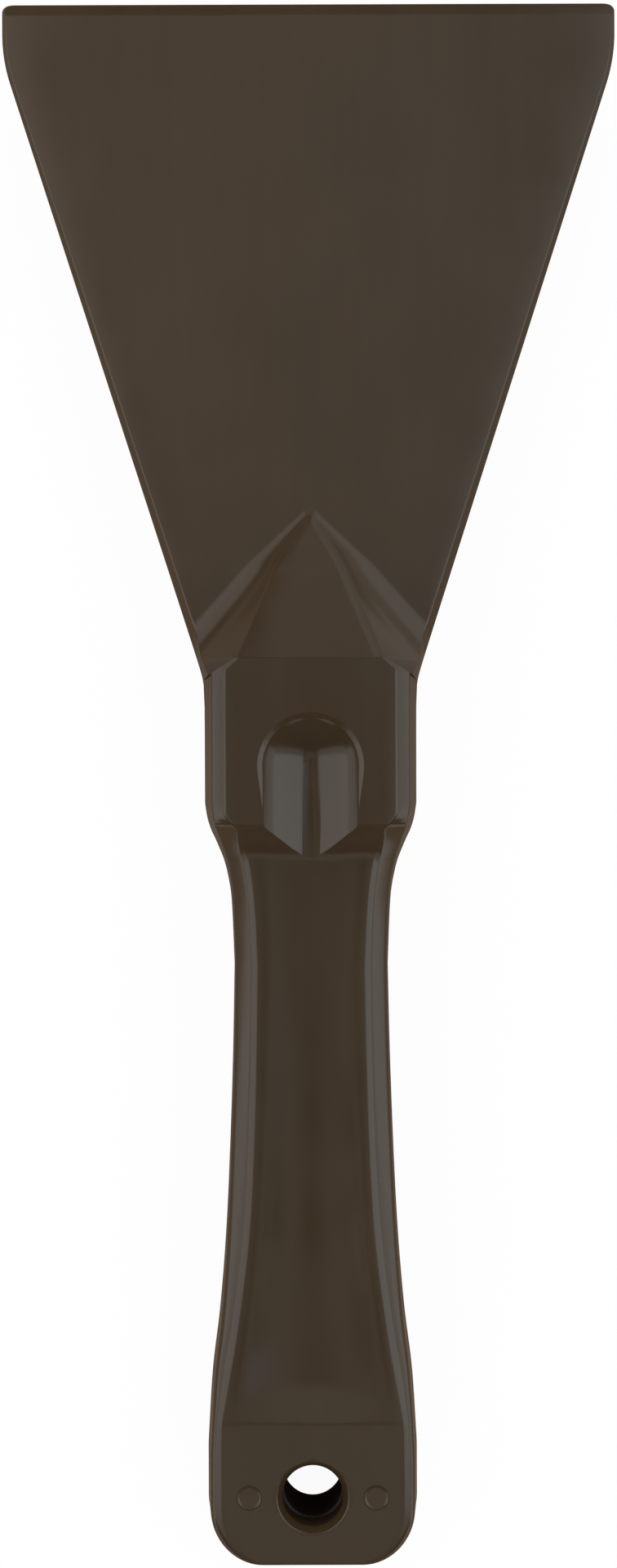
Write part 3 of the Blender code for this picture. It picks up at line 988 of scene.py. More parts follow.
    @property
    def neck_at(self) -> float:
        """Where the slope from the collar ends."""
        return self.collar_foot_at - self.neck_slope

    @property
    def waist_at(self) -> float:
        """Narrowest place of the grip."""
        return self.collar_foot_at - self.neck_length

    @property
    def butt_full_at(self) -> float:
        """Where the butt reaches its full width."""
        return self.butt_length - self.butt_swell

    def grip_share(self, at: float) -> float:
        """Share of the way from the waist to the butt's flat face."""
        return (self.waist_at - at) / (self.waist_at - self.butt_length)

    def slope_share(self, at: float) -> float:
        """Share of the way down the slope from the collar."""
        return (self.collar_foot_at - at) / self.neck_slope

    def neck_share(self, at: float) -> float:
        """Share of the way from the waist up to the slope."""
        return (at - self.waist_at) / (self.neck_at - self.waist_at)

    def waisted(self, collar: float, waist: float, butt: float, at: float) -> float:
        """Half width that narrows from the collar to the waist and widens to the butt.

        Args:
            collar: Width at the collar.
            waist: Width at the waist.
            butt: Width at the butt.
            at: Place along the tool.

        Returns:
            Half the width there.
        """
        if at > self.waist_at:
            share = (self.collar_side_end_at - at) / (self.collar_side_end_at - self.waist_at)
            return between(collar, waist, flow(self.neck_side_flow, share)) / 2
        share = (self.waist_at - at) / (self.waist_at - self.butt_full_at)
        return between(waist, butt, flow(self.grip_side_flow, share)) / 2

    def flared(self, at: float) -> float:
        """Half width where the blade's straight sides run out into the collar's.

        Args:
            at: Place along the tool.

        Returns:
            Half the width there, with a soft bend between the two.
        """
        out = (at - self.length + self.root_lap) * tan(self.root_flare)
        return self.collar_width / 2 + (out + sqrt(out**2 + self.root_blend**2)) / 2

    def side_at(self, at: float) -> float:
        """Half width at the middle of the thickness.

        Args:
            at: Place along the tool.

        Returns:
            Half the width there.
        """
        if at > self.collar_side_end_at:
            return self.flared(at)
        return self.waisted(self.collar_width, self.waist_width, self.butt_width, at)

    def shoulder_at(self, at: float) -> float:
        """Half width at the top of the side faces."""
        butt = self.butt_width - 2 * self.butt_draft
        return self.waisted(self.collar_shoulder_width, self.waist_shoulder_width, butt, at)

    def face_at(self, at: float) -> float:
        """Half width of the front face.

        Args:
            at: Place along the tool.

        Returns:
            Half the face's width there.
        """
        if at > self.collar_foot_at:
            share = clamped((at - self.collar_foot_at) / self.collar_foot_cut)
            return between(self.collar_foot_width, self.collar_face_width, share) / 2
        if at > self.waist_at:
            share = flow(self.neck_face_flow, (self.collar_foot_at - at) / self.neck_length)
            return between(self.collar_foot_width, self.waist_face_width, share) / 2
        butt = self.butt_width - 2 * (self.butt_draft + self.butt_edge_radius)
        return between(self.waist_face_width, butt, flow(self.grip_face_flow, self.grip_share(at))) / 2

    def height_at(self, at: float) -> float:
        """Half thickness along the rim of the front face.

        Args:
            at: Place along the tool.

        Returns:
            Half the thickness there.
        """
        if at > self.collar_foot_at:
            return self.half
        if at > self.neck_at:
            share = flow(self.neck_slope_flow, self.slope_share(at))
            return between(self.thickness, self.neck_thickness, share) / 2
        if at > self.waist_at:
            return between(self.waist_thickness, self.neck_thickness, self.neck_share(at)) / 2
        share = flow(self.grip_rise_flow, self.grip_share(at))
        return between(self.waist_thickness, self.thickness, share) / 2

    def chamfer_at(self, at: float) -> float:
        """Depth of the chamfer along the front face.

        Args:
            at: Place along the tool.

        Returns:
            The chamfer's depth there.
        """
        if at > self.waist_at:
            return between(self.collar_chamfer, self.grip_chamfer, clamped(self.slope_share(at)))
        share = flow(self.grip_face_flow, self.grip_share(at))
        return between(self.grip_chamfer, self.butt_edge_radius, share)

    def dish_at(self, at: float) -> float:
        """Depth of the front face's hollow.

        Args:
            at: Place along the tool.

        Returns:
            The hollow's depth there.
        """
        if at > self.neck_at:
            return self.neck_dish * clamped(self.slope_share(at))
        if at > self.waist_at:
            return between(self.waist_dish, self.neck_dish, self.neck_share(at))
        share = self.grip_share(at)
        dish = between(self.waist_dish, self.low_grip_dish, flow(self.dish_flow, share))
        return dish * clamped((1 - share) / self.dish_run_out)

    def reach_at(self, at: float) -> float:
        """How far the long edges are rounded."""
        return between(self.crisp_reach, self.soft_reach, clamped(self.slope_share(at)))

    def quarter(self, at: float) -> list[Place]:
        """Front right quarter of the cross-section.

        Args:
            at: Place along the tool.

        Returns:
            Points from the middle of the face to the parting line, as pairs of X and height.
        """
        face, shoulder = eased(self.face_at, at, self.ease), eased(self.shoulder_at, at, self.ease)
        side, height = eased(self.side_at, at, self.ease), eased(self.height_at, at, self.ease)
        drop, dish, reach = eased(self.chamfer_at, at, self.ease), self.dish_at(at), self.reach_at(at)
        roundness = clamped(self.grip_share(at)) ** self.edge_rounding
        rim = face - reach * (1 - roundness)
        border = rim - self.panel_border
        across = spread(0, border, self.panel_steps - 1)
        panel = [(x, height - dish * (1 - (x / border) ** 2)) for x in across]
        ridge, sill, foot = (face, height), (shoulder, height - drop), self.parting.foot_at(side)
        edge = [
            *soft_corner((rim, height), ridge, sill, reach, self.edge_steps),
            *soft_corner(ridge, sill, foot, reach, self.edge_steps),
        ]
        turns = spread(0, QUARTER_TURN, len(edge) - 1)
        arc = [(between(face, shoulder, sin(t)), height - drop * (1 - cos(t))) for t in turns]
        blended = [
            (between(flat[0], bent[0], roundness), between(flat[1], bent[1], roundness))
            for flat, bent in zip(edge, arc)
        ]
        return [*panel, *blended, foot, *self.parting.crest_at(side)]

    def butt_corner_ring(self, turn: float) -> list[Vector]:
        """Section through the butt's end corners, turned about their centre lines.

        Args:
            turn: 0 along the tool, a quarter turn across it.

        Returns:
            Points once round the section.
        """
        centre = self.butt_width / 2 - self.butt_corner_radius
        edge_share = between(self.end_edge_share, 1.0, sin(turn) ** 2)
        corner = []
        for x, z in self.quarter(self.butt_corner_radius)[self.panel_steps:]:
            radius = self.butt_corner_radius - (self.butt_width / 2 - x) * edge_share
            at = self.butt_corner_radius - radius * cos(turn)
            corner.append(Vector((centre + radius * sin(turn), at, z)))
        rim = corner[0]
        panel = [Vector((x, rim.y, rim.z)) for x in spread(0, rim.x, self.panel_steps)[:-1]]
        return mirrored_ring([*panel, *corner])

    def places(self) -> list[float]:
        """Where the cross-sections lie, past the butt's corners.

        Returns:
            Places from the butt to the mouth, closest where the form turns fast.
        """
        crest = self.ease * self.crest_share
        stretches = (
            (self.butt_full_at, 10),
            (self.butt_length - crest, 5),
            (self.butt_length + crest, 8),
            (self.waist_at, 70),
            (self.neck_at, 16),
            (self.collar_foot_at - crest, 22),
            (self.collar_foot_at + crest, 12),
            (self.collar_foot_at + self.collar_foot_cut - crest, 3),
            (self.collar_foot_at + self.collar_foot_cut + crest, 8),
            (self.collar_side_end_at + crest, 6),
            (self.length, 6),
        )
        return stepped(self.butt_corner_radius, stretches)[1:]

    def butt_end_closed(self, bench: Bench, thing: Thing) -> None:
        """Closes the butt's end with strips from its left corner to its right one.

        Args:
            bench: Bench to work on.
            thing: Handle whose butt end is open.
        """
        rim = self.butt_corner_ring(0)[self.panel_steps]

        def beside_end(edge: bmesh.types.BMEdge) -> bool:
            """Whether an edge of the end's rim runs down one of its sides."""
            outer = all(abs(abs(vert.co.x) - rim.x) < MERGE for vert in edge.verts)
            return edge.is_boundary and outer and all(vert.co.y < rim.y + MERGE for vert in edge.verts)

        with bench.opened(thing, Part.EDGE, beside_end):
            bpy.ops.mesh.bridge_edge_loops(number_cuts=2 * self.panel_steps - 1, interpolation="LINEAR")

    def mouth_trimmed(self, bench: Bench, thing: Thing, clearance: float) -> None:
        """Cuts the two corners off the mouth.

        Args:
            bench: Bench to work on.
            thing: Handle, or a block that makes room for it.
            clearance: How far outside the mouth's corners to cut.
        """
        for side in Side:
            across = Vector((side.value * sin(self.mouth_slant), cos(self.mouth_slant), 0))
            corner = Vector((side.value * self.mouth_flat / 2, self.length, 0))
            bench.trimmed(thing, corner + across * clearance, across)

    def mouth_strips(self, bench: Bench, thing: Thing) -> None:
        """Breaks the edges of the mouth's cut corners, more and more towards the sides.

        Args:
            bench: Bench to work on.
            thing: Handle whose mouth is cut.
        """
        level = sin(self.strip_tilt)
        for side in Side:
            x, out = side.value * self.mouth_flat / 2, side.value * sin(self.strip_slant) * level
            for face in Face:
                start = Vector((x, self.length - self.strip_start, face.value * self.half))
                normal = Vector((out, cos(self.strip_slant) * level, face.value * cos(self.strip_tilt)))
                bench.trimmed(thing, start, normal)

    def thumb_cutter(self, bench: Bench, face: Face, radius: float, depth: float) -> Thing:
        """Ball-nosed cutter that leaves a thumb rest, climbing to the grip.

        Args:
            bench: Bench to make it on.
            face: Front or back.
            radius: Radius of its nose.
            depth: How deep the nose sinks below the face.

        Returns:
            The cutter in its place.
        """
        ball = bpy.ops.mesh.primitive_uv_sphere_add
        height = self.half + radius - depth
        place = bench.datum + Vector((0, self.length - self.thumb_nose, face.value * height))
        steps = {"segments": self.round_steps, "ring_count": self.round_steps // 2}
        cutter = bench.added("thumb_cutter", ball, place, radius=radius, **steps)
        with bench.opened(cutter, Part.VERT, lambda vert: vert.co.z < -MERGE):
            bpy.ops.mesh.delete(type="VERT")
        with bench.opened(cutter, Part.EDGE, lambda edge: edge.is_boundary):
            bpy.ops.mesh.extrude_edges_move(TRANSFORM_OT_translate={"value": (0, 0, -self.thumb_run)})
            bpy.ops.mesh.edge_face_add()
        bench.welded(cutter)
        cutter.rotation_euler.x = -(QUARTER_TURN + face.value * self.thumb_rise)
        return cutter

    def rod(self, bench: Bench, diameter: float, x: float, length: float | None = None) -> Thing:
        """Straight round bar across the butt.

        Args:
            bench: Bench to make it on.
            diameter: Diameter of the bar.
            x: How far it stands to the right of the hang hole.
            length: Length of the bar. Without it, the bar cuts through the whole butt.

        Returns:
            The bar in its place.
        """
        bar = bpy.ops.mesh.primitive_cylinder_add
        depth = self.thickness + 2 * self.cutter_reach if length is None else length
        place = bench.datum + Vector((x, self.hole_at, 0))
        return bench.added("rod", bar, place, vertices=self.round_steps, radius=diameter / 2, depth=depth)

    def hole_cutter(self, bench: Bench) -> Thing:
        """Cutter for the hang hole, which flares to a rounded lip at both faces.

        Args:
            bench: Bench to make it on.

        Returns:
            The cutter in its place.
        """
        bore = self.hole_diameter / 2
        round_width = self.lip_radius * (sin(self.lip_cone) - sin(self.lip_start))
        round_depth = self.lip_radius * (cos(self.lip_start) - cos(self.lip_cone))
        cone_start = self.half - round_depth - (self.lip_width - round_width) * tan(self.lip_cone)
        cutter = self.rod(bench, self.hole_diameter, 0.0, 2 * cone_start)
        turns = spread(self.lip_cone, self.lip_start, self.lip_steps)
        rim = bore + self.lip_width
        radii = [bore, *(rim - self.lip_radius * (sin(t) - sin(self.lip_start)) for t in turns)]
        heights = [self.half - self.lip_radius * (cos(self.lip_start) - cos(t)) for t in turns]
        heights = [cone_start, *heights]
        for face in Face:
            with bench.opened(cutter, Part.FACE, looks_to(face)):
                for step in range(1, len(radii)):
                    rise = face.value * (heights[step] - heights[step - 1])
                    bpy.ops.mesh.extrude_region_move(TRANSFORM_OT_translate={"value": (0, 0, rise)})
                    scale = radii[step] / radii[step - 1]
                    bpy.ops.transform.resize(value=(scale, scale, 1.0))
                rise = face.value * self.cutter_reach
                bpy.ops.mesh.extrude_region_move(TRANSFORM_OT_translate={"value": (0, 0, rise)})
        bench.welded(cutter)
        return cutter

    def pin_holes_cut(self, bench: Bench, thing: Thing) -> None:
        """Cuts the two pins' holes.

        Args:
            bench: Bench to work on.
            thing: Piece that the pins go through.
        """
        for side in Side:
            rod = self.rod(bench, self.pin_hole_diameter, side.value * self.pin_spacing / 2)
            bench.combined(thing, rod)

    def built(self, bench: Bench) -> Thing:
        """Handle with all that is cut from it.

        Args:
            bench: Bench to make it on.

        Returns:
            The finished handle.
        """
        rings = [self.butt_corner_ring(turn) for turn in spread(0, QUARTER_TURN, self.corner_steps)]
        rings += [ring_at(at, self.quarter(at)) for at in self.places()]
        thing = bench.lofted("handle_body", rings)
        self.butt_end_closed(bench, thing)
        bench.capped(thing, self.length)
        bench.welded(thing)
        self.mouth_trimmed(bench, thing, 0.0)
        self.mouth_strips(bench, thing)
        bench.combined(thing, self.core.lofted(bench, self, self.socket_clearance))
        rest = (self.thumb_radius, self.thumb_depth)
        rim = (self.thumb_rim_radius, self.thumb_rim_depth)
        for face in Face:
            for radius, depth in (rest, rim):
                bench.combined(thing, self.thumb_cutter(bench, face, radius, depth))
        bench.combined(thing, self.hole_cutter(bench))
        self.pin_holes_cut(bench, thing)
        return bench.finished(thing, self.smooth_angle)


@dataclass(kw_only=True)
class Blade(Piece):
    """Flared plate with a thinned scraping edge and the wedge that carries it.

    Attributes:
        handle: Handle that it stands in.
        parting: Parting line along its sides.
        length: Collar's mouth to the scraping edge.
        width: Width across the scraping edge.
        shoulder_radius: Radius of the bend where the flare ends.
        corner_radius: Radius of the scraping edge's corners.
        root_thickness: Thickness of the plate at the mouth.
        tip_thickness: Thickness of the plate before the bevel.
        edge_thickness: Thickness of the scraping edge.
        bevel: Length of the bevel.
        root_rim: Width that the side face shows from above at the plate's root.
        mouth_rim: The same width at the collar's mouth.
        mouth_rim_run: Length over which the one turns into the other.
        tip_rim: The same width at the scraping edge.
        wedge_length: Mouth to the wedge's point.
        ridge_width: Width of the wedge's central face at the mouth.
        ridge_spread: How far each edge of that face bows outwards.
        ridge_gather: Share of the wedge's length over which the bow grows.
        foot_width: Width of the wedge's foot at the mouth.
        wedge_sink: How far the central face lies below the collar's face.
        valley_fillet: Half width of the hollow along the foot.
        point_hollow: Share of that width at the point.
        hollow_run: Share of the wedge's length over which the hollow widens.
        ease: How far the plate's edges across the tool are rounded.
        ridge_reach: How far the wedge's ridges are rounded.
        rim_reach: How far the plate's long edges are rounded.
        seam: Clearance to the collar's mouth.
        spacing: Least distance between two points of a section.
        root_run: How far the plate is carried into the collar before the mouth is cut.
        root_close: Length of closely cut plate past the mouth.
        point_close: Where the close cuts round the wedge's point start and end.
        smooth_angle: Edges flatter than this are shaded smooth.
        ridge_steps: Steps round a ridge.
        valley_steps: Steps across the hollow.
        plate_steps: Steps across the flat plate.
        rim_steps: Steps round a long edge.
        corner_steps: Steps round the scraping edge's corners.
    """

    handle: Handle
    node: str = "blade"
    slot: str = "blade_nylon"
    finish: MouldedNylon = MouldedNylon(
        "blade_nylon_skin", (0.0365, 0.0223, 0.0107), (0.0298, 0.0187, 0.0096), roughness=0.21
    )
    parting: PartingLine = PartingLine()
    length: float = 0.1070
    width: float = 0.1000
    shoulder_radius: float = 0.0270
    corner_radius: float = 0.0012
    root_thickness: float = 0.0064
    tip_thickness: float = 0.0026
    edge_thickness: float = 0.0010
    bevel: float = 0.0019
    root_rim: float = 0.00130
    mouth_rim: float = 0.00045
    mouth_rim_run: float = 0.0050
    tip_rim: float = 0.00055
    wedge_length: float = 0.0234
    ridge_width: float = 0.0220
    ridge_spread: float = 0.0018
    ridge_gather: float = 0.45
    foot_width: float = 0.0420
    wedge_sink: float = 0.0001
    valley_fillet: float = 0.0037
    point_hollow: float = 0.45
    hollow_run: float = 0.35
    ease: float = 0.00015
    ridge_reach: float = 0.0009
    rim_reach: float = 0.00025
    seam: float = 0.00003
    spacing: float = 0.00005
    root_run: float = 0.0060
    root_close: float = 0.0060
    point_close: Place = (-0.0010, 0.0030)
    smooth_angle: float = radians(14)
    ridge_steps: int = 5
    valley_steps: int = 12
    plate_steps: int = 4
    rim_steps: int = 4
    corner_steps: int = 12

    @property
    def tip_at(self) -> float:
        """Where the scraping edge is."""
        return self.handle.length + self.length

    @property
    def point_at(self) -> float:
        """Where the wedge comes to its point."""
        return self.handle.length + self.wedge_length

    @property
    def shoulder_at(self) -> float:
        """Where the flare would reach the full width."""
        rise = (self.width - self.handle.collar_width) / 2
        return self.handle.length - self.handle.root_lap + rise / tan(self.handle.root_flare)

    @property
    def bevel_at(self) -> float:
        """Where the plate starts to thin to its edge."""
        return self.tip_at - self.bevel

    @property
    def shoulder_run(self) -> float:
        """Length from the shoulder's corner to either end of the arc that rounds it."""
        return self.shoulder_radius * tan(self.handle.root_flare / 2)

    def ridge_at(self, share: float) -> float:
        """Half width of the wedge's central face, at a share of the way from its point to the mouth."""
        gathered = sin(QUARTER_TURN * clamped(share / self.ridge_gather))
        return (self.ridge_width / 2 - self.ridge_spread) * clamped(share) + self.ridge_spread * gathered

    def hollow_at(self, share: float) -> float:
        """Half width of the hollow along the wedge's foot, which narrows towards the point."""
        return self.valley_fillet * between(self.point_hollow, 1.0, clamped(share / self.hollow_run))

    def lean_at(self, share: float) -> float:
        """Rise of the wedge's sides for a length across the blade.

        Args:
            share: Share of the way from the wedge's point to the mouth.

        Returns:
            Height for each metre across.
        """
        share = max(share, MERGE)
        rise = (self.handle.half - self.wedge_sink - self.root_thickness / 2) * share
        return rise / (self.foot_width / 2 * share - self.ridge_at(share))

    def side_at(self, at: float) -> float:
        """Half width at the middle of the thickness: bend, flare, shoulder arc, corner.

        Args:
            at: Place along the tool.

        Returns:
            Half the width there.
        """
        if at < self.shoulder_at - self.shoulder_run * cos(self.handle.root_flare):
            return self.handle.flared(at)
        before = max(0.0, self.shoulder_at + self.shoulder_run - at)
        side = self.width / 2 - self.shoulder_radius + sqrt(self.shoulder_radius**2 - before**2)
        corner = max(0.0, at - (self.tip_at - self.corner_radius))
        return side - self.corner_radius + sqrt(max(0.0, self.corner_radius**2 - corner**2))

    def plate_at(self, at: float) -> float:
        """Half thickness of the plate.

        Args:
            at: Place along the tool.

        Returns:
            Half the thickness there.
        """
        if at > self.bevel_at:
            share = clamped((at - self.bevel_at) / self.bevel)
            return between(self.tip_thickness, self.edge_thickness, share) / 2
        share = (at - self.handle.length) / (self.bevel_at - self.handle.length)
        return between(self.root_thickness, self.tip_thickness, share) / 2

    def rim_at(self, at: float) -> float:
        """Width that the side face shows from above, which meets the collar's side at the mouth.

        Args:
            at: Place along the tool.

        Returns:
            The width there.
        """
        share = clamped((at - self.handle.length) / self.length)
        near = clamped((at - self.handle.length) / self.mouth_rim_run)
        return between(self.mouth_rim, between(self.root_rim, self.tip_rim, share), near)

    def wall_at(self, at: float, x: float) -> float:
        """Height of the collar's side face, carried on over the blade's root.

        Args:
            at: Place along the tool.
            x: Place across the blade.

        Returns:
            Height above the middle of the thickness.
        """
        draft = (self.handle.collar_width - self.handle.collar_shoulder_width) / 2
        steepness = (self.handle.half - self.handle.collar_chamfer) / draft
        return self.plate_at(at) + (self.side_at(at) - self.rim_at(at) - x) * steepness

    def wedge_at(self, at: float, x: float) -> float:
        """Height of the wedge above the plate: central face, sides, and a hollow along each foot.

        Args:
            at: Place along the tool.
            x: Place across the blade.

        Returns:
            Height there, nothing on the bare plate.
        """
        share = (self.point_at - at) / self.wedge_length
        foot, hollow, lean = self.foot_width / 2 * share, self.hollow_at(share), self.lean_at(share)
        out = max(abs(x), self.ridge_at(share))
        if out < foot - hollow:
            return lean * (foot - out)
        return lean * max(0.0, foot + hollow - out) ** 2 / (4 * hollow)

    def across(self, share: float, last: float) -> list[float]:
        """Where a section has its points: middle, ridge, hollow and flat plate.

        Args:
            share: Share of the way from the wedge's point to the mouth.
            last: Outermost place.

        Returns:
            Places across the blade, each a little farther out than the one before.
        """
        ridge, foot, reach = self.ridge_at(share), self.foot_width / 2 * share, self.ridge_reach
        fillet = max(foot - self.valley_fillet, ridge + reach)
        found = [0.0, ridge / 2, *spread(ridge - reach, ridge + reach, self.ridge_steps)]
        found += spread(fillet, max(foot + self.valley_fillet, fillet), self.valley_steps)
        found += spread(found[-1], last, self.plate_steps)[1:]
        for index in range(1, len(found)):
            found[index] = max(found[index], found[index - 1] + self.spacing)
        still_to_come = reversed(range(len(found)))
        return [min(place, last - count * self.spacing) for place, count in zip(found, still_to_come)]

    def quarter(self, at: float) -> list[Place]:
        """Front right quarter of the cross-section: wedge, hollow, plate, rim.

        Args:
            at: Place along the tool.

        Returns:
            Points from the middle of the face to the parting line, as pairs of X and height.
        """
        plate, side = eased(self.plate_at, at, self.ease), self.side_at(at)
        edge = side - self.rim_at(at)
        skin = []
        for x in self.across(max(0.0, self.point_at - at) / self.wedge_length, edge - self.rim_reach):
            wedge = eased(lambda place: self.wedge_at(at, place), x, self.ridge_reach)
            skin.append((x, min(plate + wedge, self.wall_at(at, x))))
        foot = self.parting.foot_at(side)
        rim = soft_corner(skin[-1], (edge, plate), foot, self.rim_reach, self.rim_steps)
        return [*skin[:-1], *rim, foot, *self.parting.crest_at(side)]

    def places(self) -> list[float]:
        """Where the cross-sections lie, from inside the mouth to the scraping edge.

        Returns:
            Places that lie closest where the form turns fast.
        """
        corner_at = self.tip_at - self.corner_radius
        before_point, past_point = self.point_close
        stretches = (
            (self.handle.length, 16),
            (self.handle.length + self.root_close, 24),
            (self.point_at + before_point, 30),
            (self.point_at + past_point, 24),
            (self.shoulder_at - self.shoulder_run, 14),
            (self.bevel_at - 2 * self.ease, 22),
            (self.bevel_at + 2 * self.ease, 6),
            (corner_at, 2),
        )
        turns = spread(0, QUARTER_TURN, self.corner_steps)[1:]
        corner = [corner_at + self.corner_radius * sin(turn) for turn in turns]
        return stepped(self.handle.length - self.root_run, stretches) + corner

    def mouth_block(self, bench: Bench) -> Thing:
        """Block that takes the collar's room out of the blade's root.

        Args:
            bench: Bench to make it on.

        Returns:
            The block in its place.
        """
        depth = 2 * self.root_run
        middle = self.handle.length + self.seam - depth / 2
        block = bench.added("mouth_block", bpy.ops.mesh.primitive_cube_add, bench.datum, size=1.0)
        with bench.opened(block):
            bpy.ops.transform.resize(value=(self.width, depth, 2 * self.handle.thickness))
            bpy.ops.transform.translate(value=(0, middle, 0))
        self.handle.mouth_trimmed(bench, block, self.seam)
        return block

    def built(self, bench: Bench) -> Thing:
        """Blade with its wedge and core.

        Args:
            bench: Bench to make it on.

        Returns:
            The finished blade.
        """
        core = self.handle.core
        rings = [ring_at(at, self.quarter(at)) for at in self.places()]
        thing = bench.closed_loft("blade_plate", rings)
        bench.combined(thing, self.mouth_block(bench))
        bench.combined(thing, core.lofted(bench, self.handle, 0.0), Boolean.JOIN)
        bench.combined(thing, self.handle.rod(bench, core.hole_diameter, 0.0))
        self.handle.pin_holes_cut(bench, thing)
        return bench.finished(thing, self.smooth_angle)


@dataclass(kw_only=True)
class LockPin(Piece):
    """Cross pin beside the hang hole, with a fine raised rim on both ends.

    Attributes:
        handle: Handle that it goes through.
        side: Side of the hang hole that it is on.
        diameter: Diameter of the pin.
        sink: How far its rim lies below the butt's face.
        rim_width: Width of the raised rim.
        rim_height: How far the rim stands above the pin's end.
        edge: Rounding of the rim's two edges.
        steps: Steps round the pin.
        smooth_angle: Edges flatter than this are shaded smooth.
    """

    handle: Handle
    side: Side
    slot: str = "pin_nylon"
    finish: MouldedNylon = MouldedNylon(
        "pin_nylon_skin", (0.0315, 0.0190, 0.0090), (0.0315, 0.0190, 0.0090)
    )
    diameter: float = 0.0039
    sink: float = 0.00003
    rim_width: float = 0.00030
    rim_height: float = 0.00011
    edge: float = 0.00008
    steps: int = 72
    smooth_angle: float = radians(25)

    def built(self, bench: Bench) -> Thing:
        """Pin in its hole.

        Args:
            bench: Bench to make it on.

        Returns:
            The finished pin.
        """
        bar = bpy.ops.mesh.primitive_cylinder_add
        x = self.side.value * self.handle.pin_spacing / 2
        place = bench.datum + Vector((x, self.handle.hole_at, 0))
        sizes = {"radius": self.diameter / 2, "depth": self.handle.thickness - 2 * self.sink}
        thing = bench.added(f"pin_{self.side.name.lower()}", bar, place, vertices=self.steps, **sizes)
        for face in Face:
            with bench.opened(thing, Part.FACE, looks_to(face)):
                bpy.ops.mesh.inset(thickness=self.edge, depth=0.0)
                bpy.ops.mesh.inset(thickness=self.rim_width, depth=0.0)
                bpy.ops.transform.translate(value=(0, 0, -face.value * self.rim_height))
                bpy.ops.mesh.inset(thickness=self.edge, depth=0.0)
        bench.welded(thing)
        return bench.finished(thing, self.smooth_angle)


@dataclass(frozen=True)
class Panel:
    """Flat soft lamp that faces the tool.

    Attributes:
        name: Name of the lamp.
        size: Its width and length.
        place: Where its middle is.
        turn: How far it is turned about X, and then about Y, from facing down.
        light: Radiance of its face.
        colour: Tint of its light.
        shows: Whether it shows in the gloss.
    """

    name: str
    size: Place
    place: Triple
    turn: Place
    light: float
    colour: Triple = WHITE
    shows: bool = True

    def hung(self) -> None:
        """Hangs the lamp in the studio."""
        light = bpy.data.lights.new(self.name, "AREA")
        light.shape = "RECTANGLE"
        light.size, light.size_y = self.size
        light.energy = self.light * pi * light.size * light.size_y
        light.color = self.colour
        lamp = bpy.data.objects.new(self.name, light)
        lamp.location = self.place
        lamp.rotation_euler = (*self.turn, 0.0)
        lamp.visible_glossy = self.shows
        bpy.context.scene.collection.objects.link(lamp)


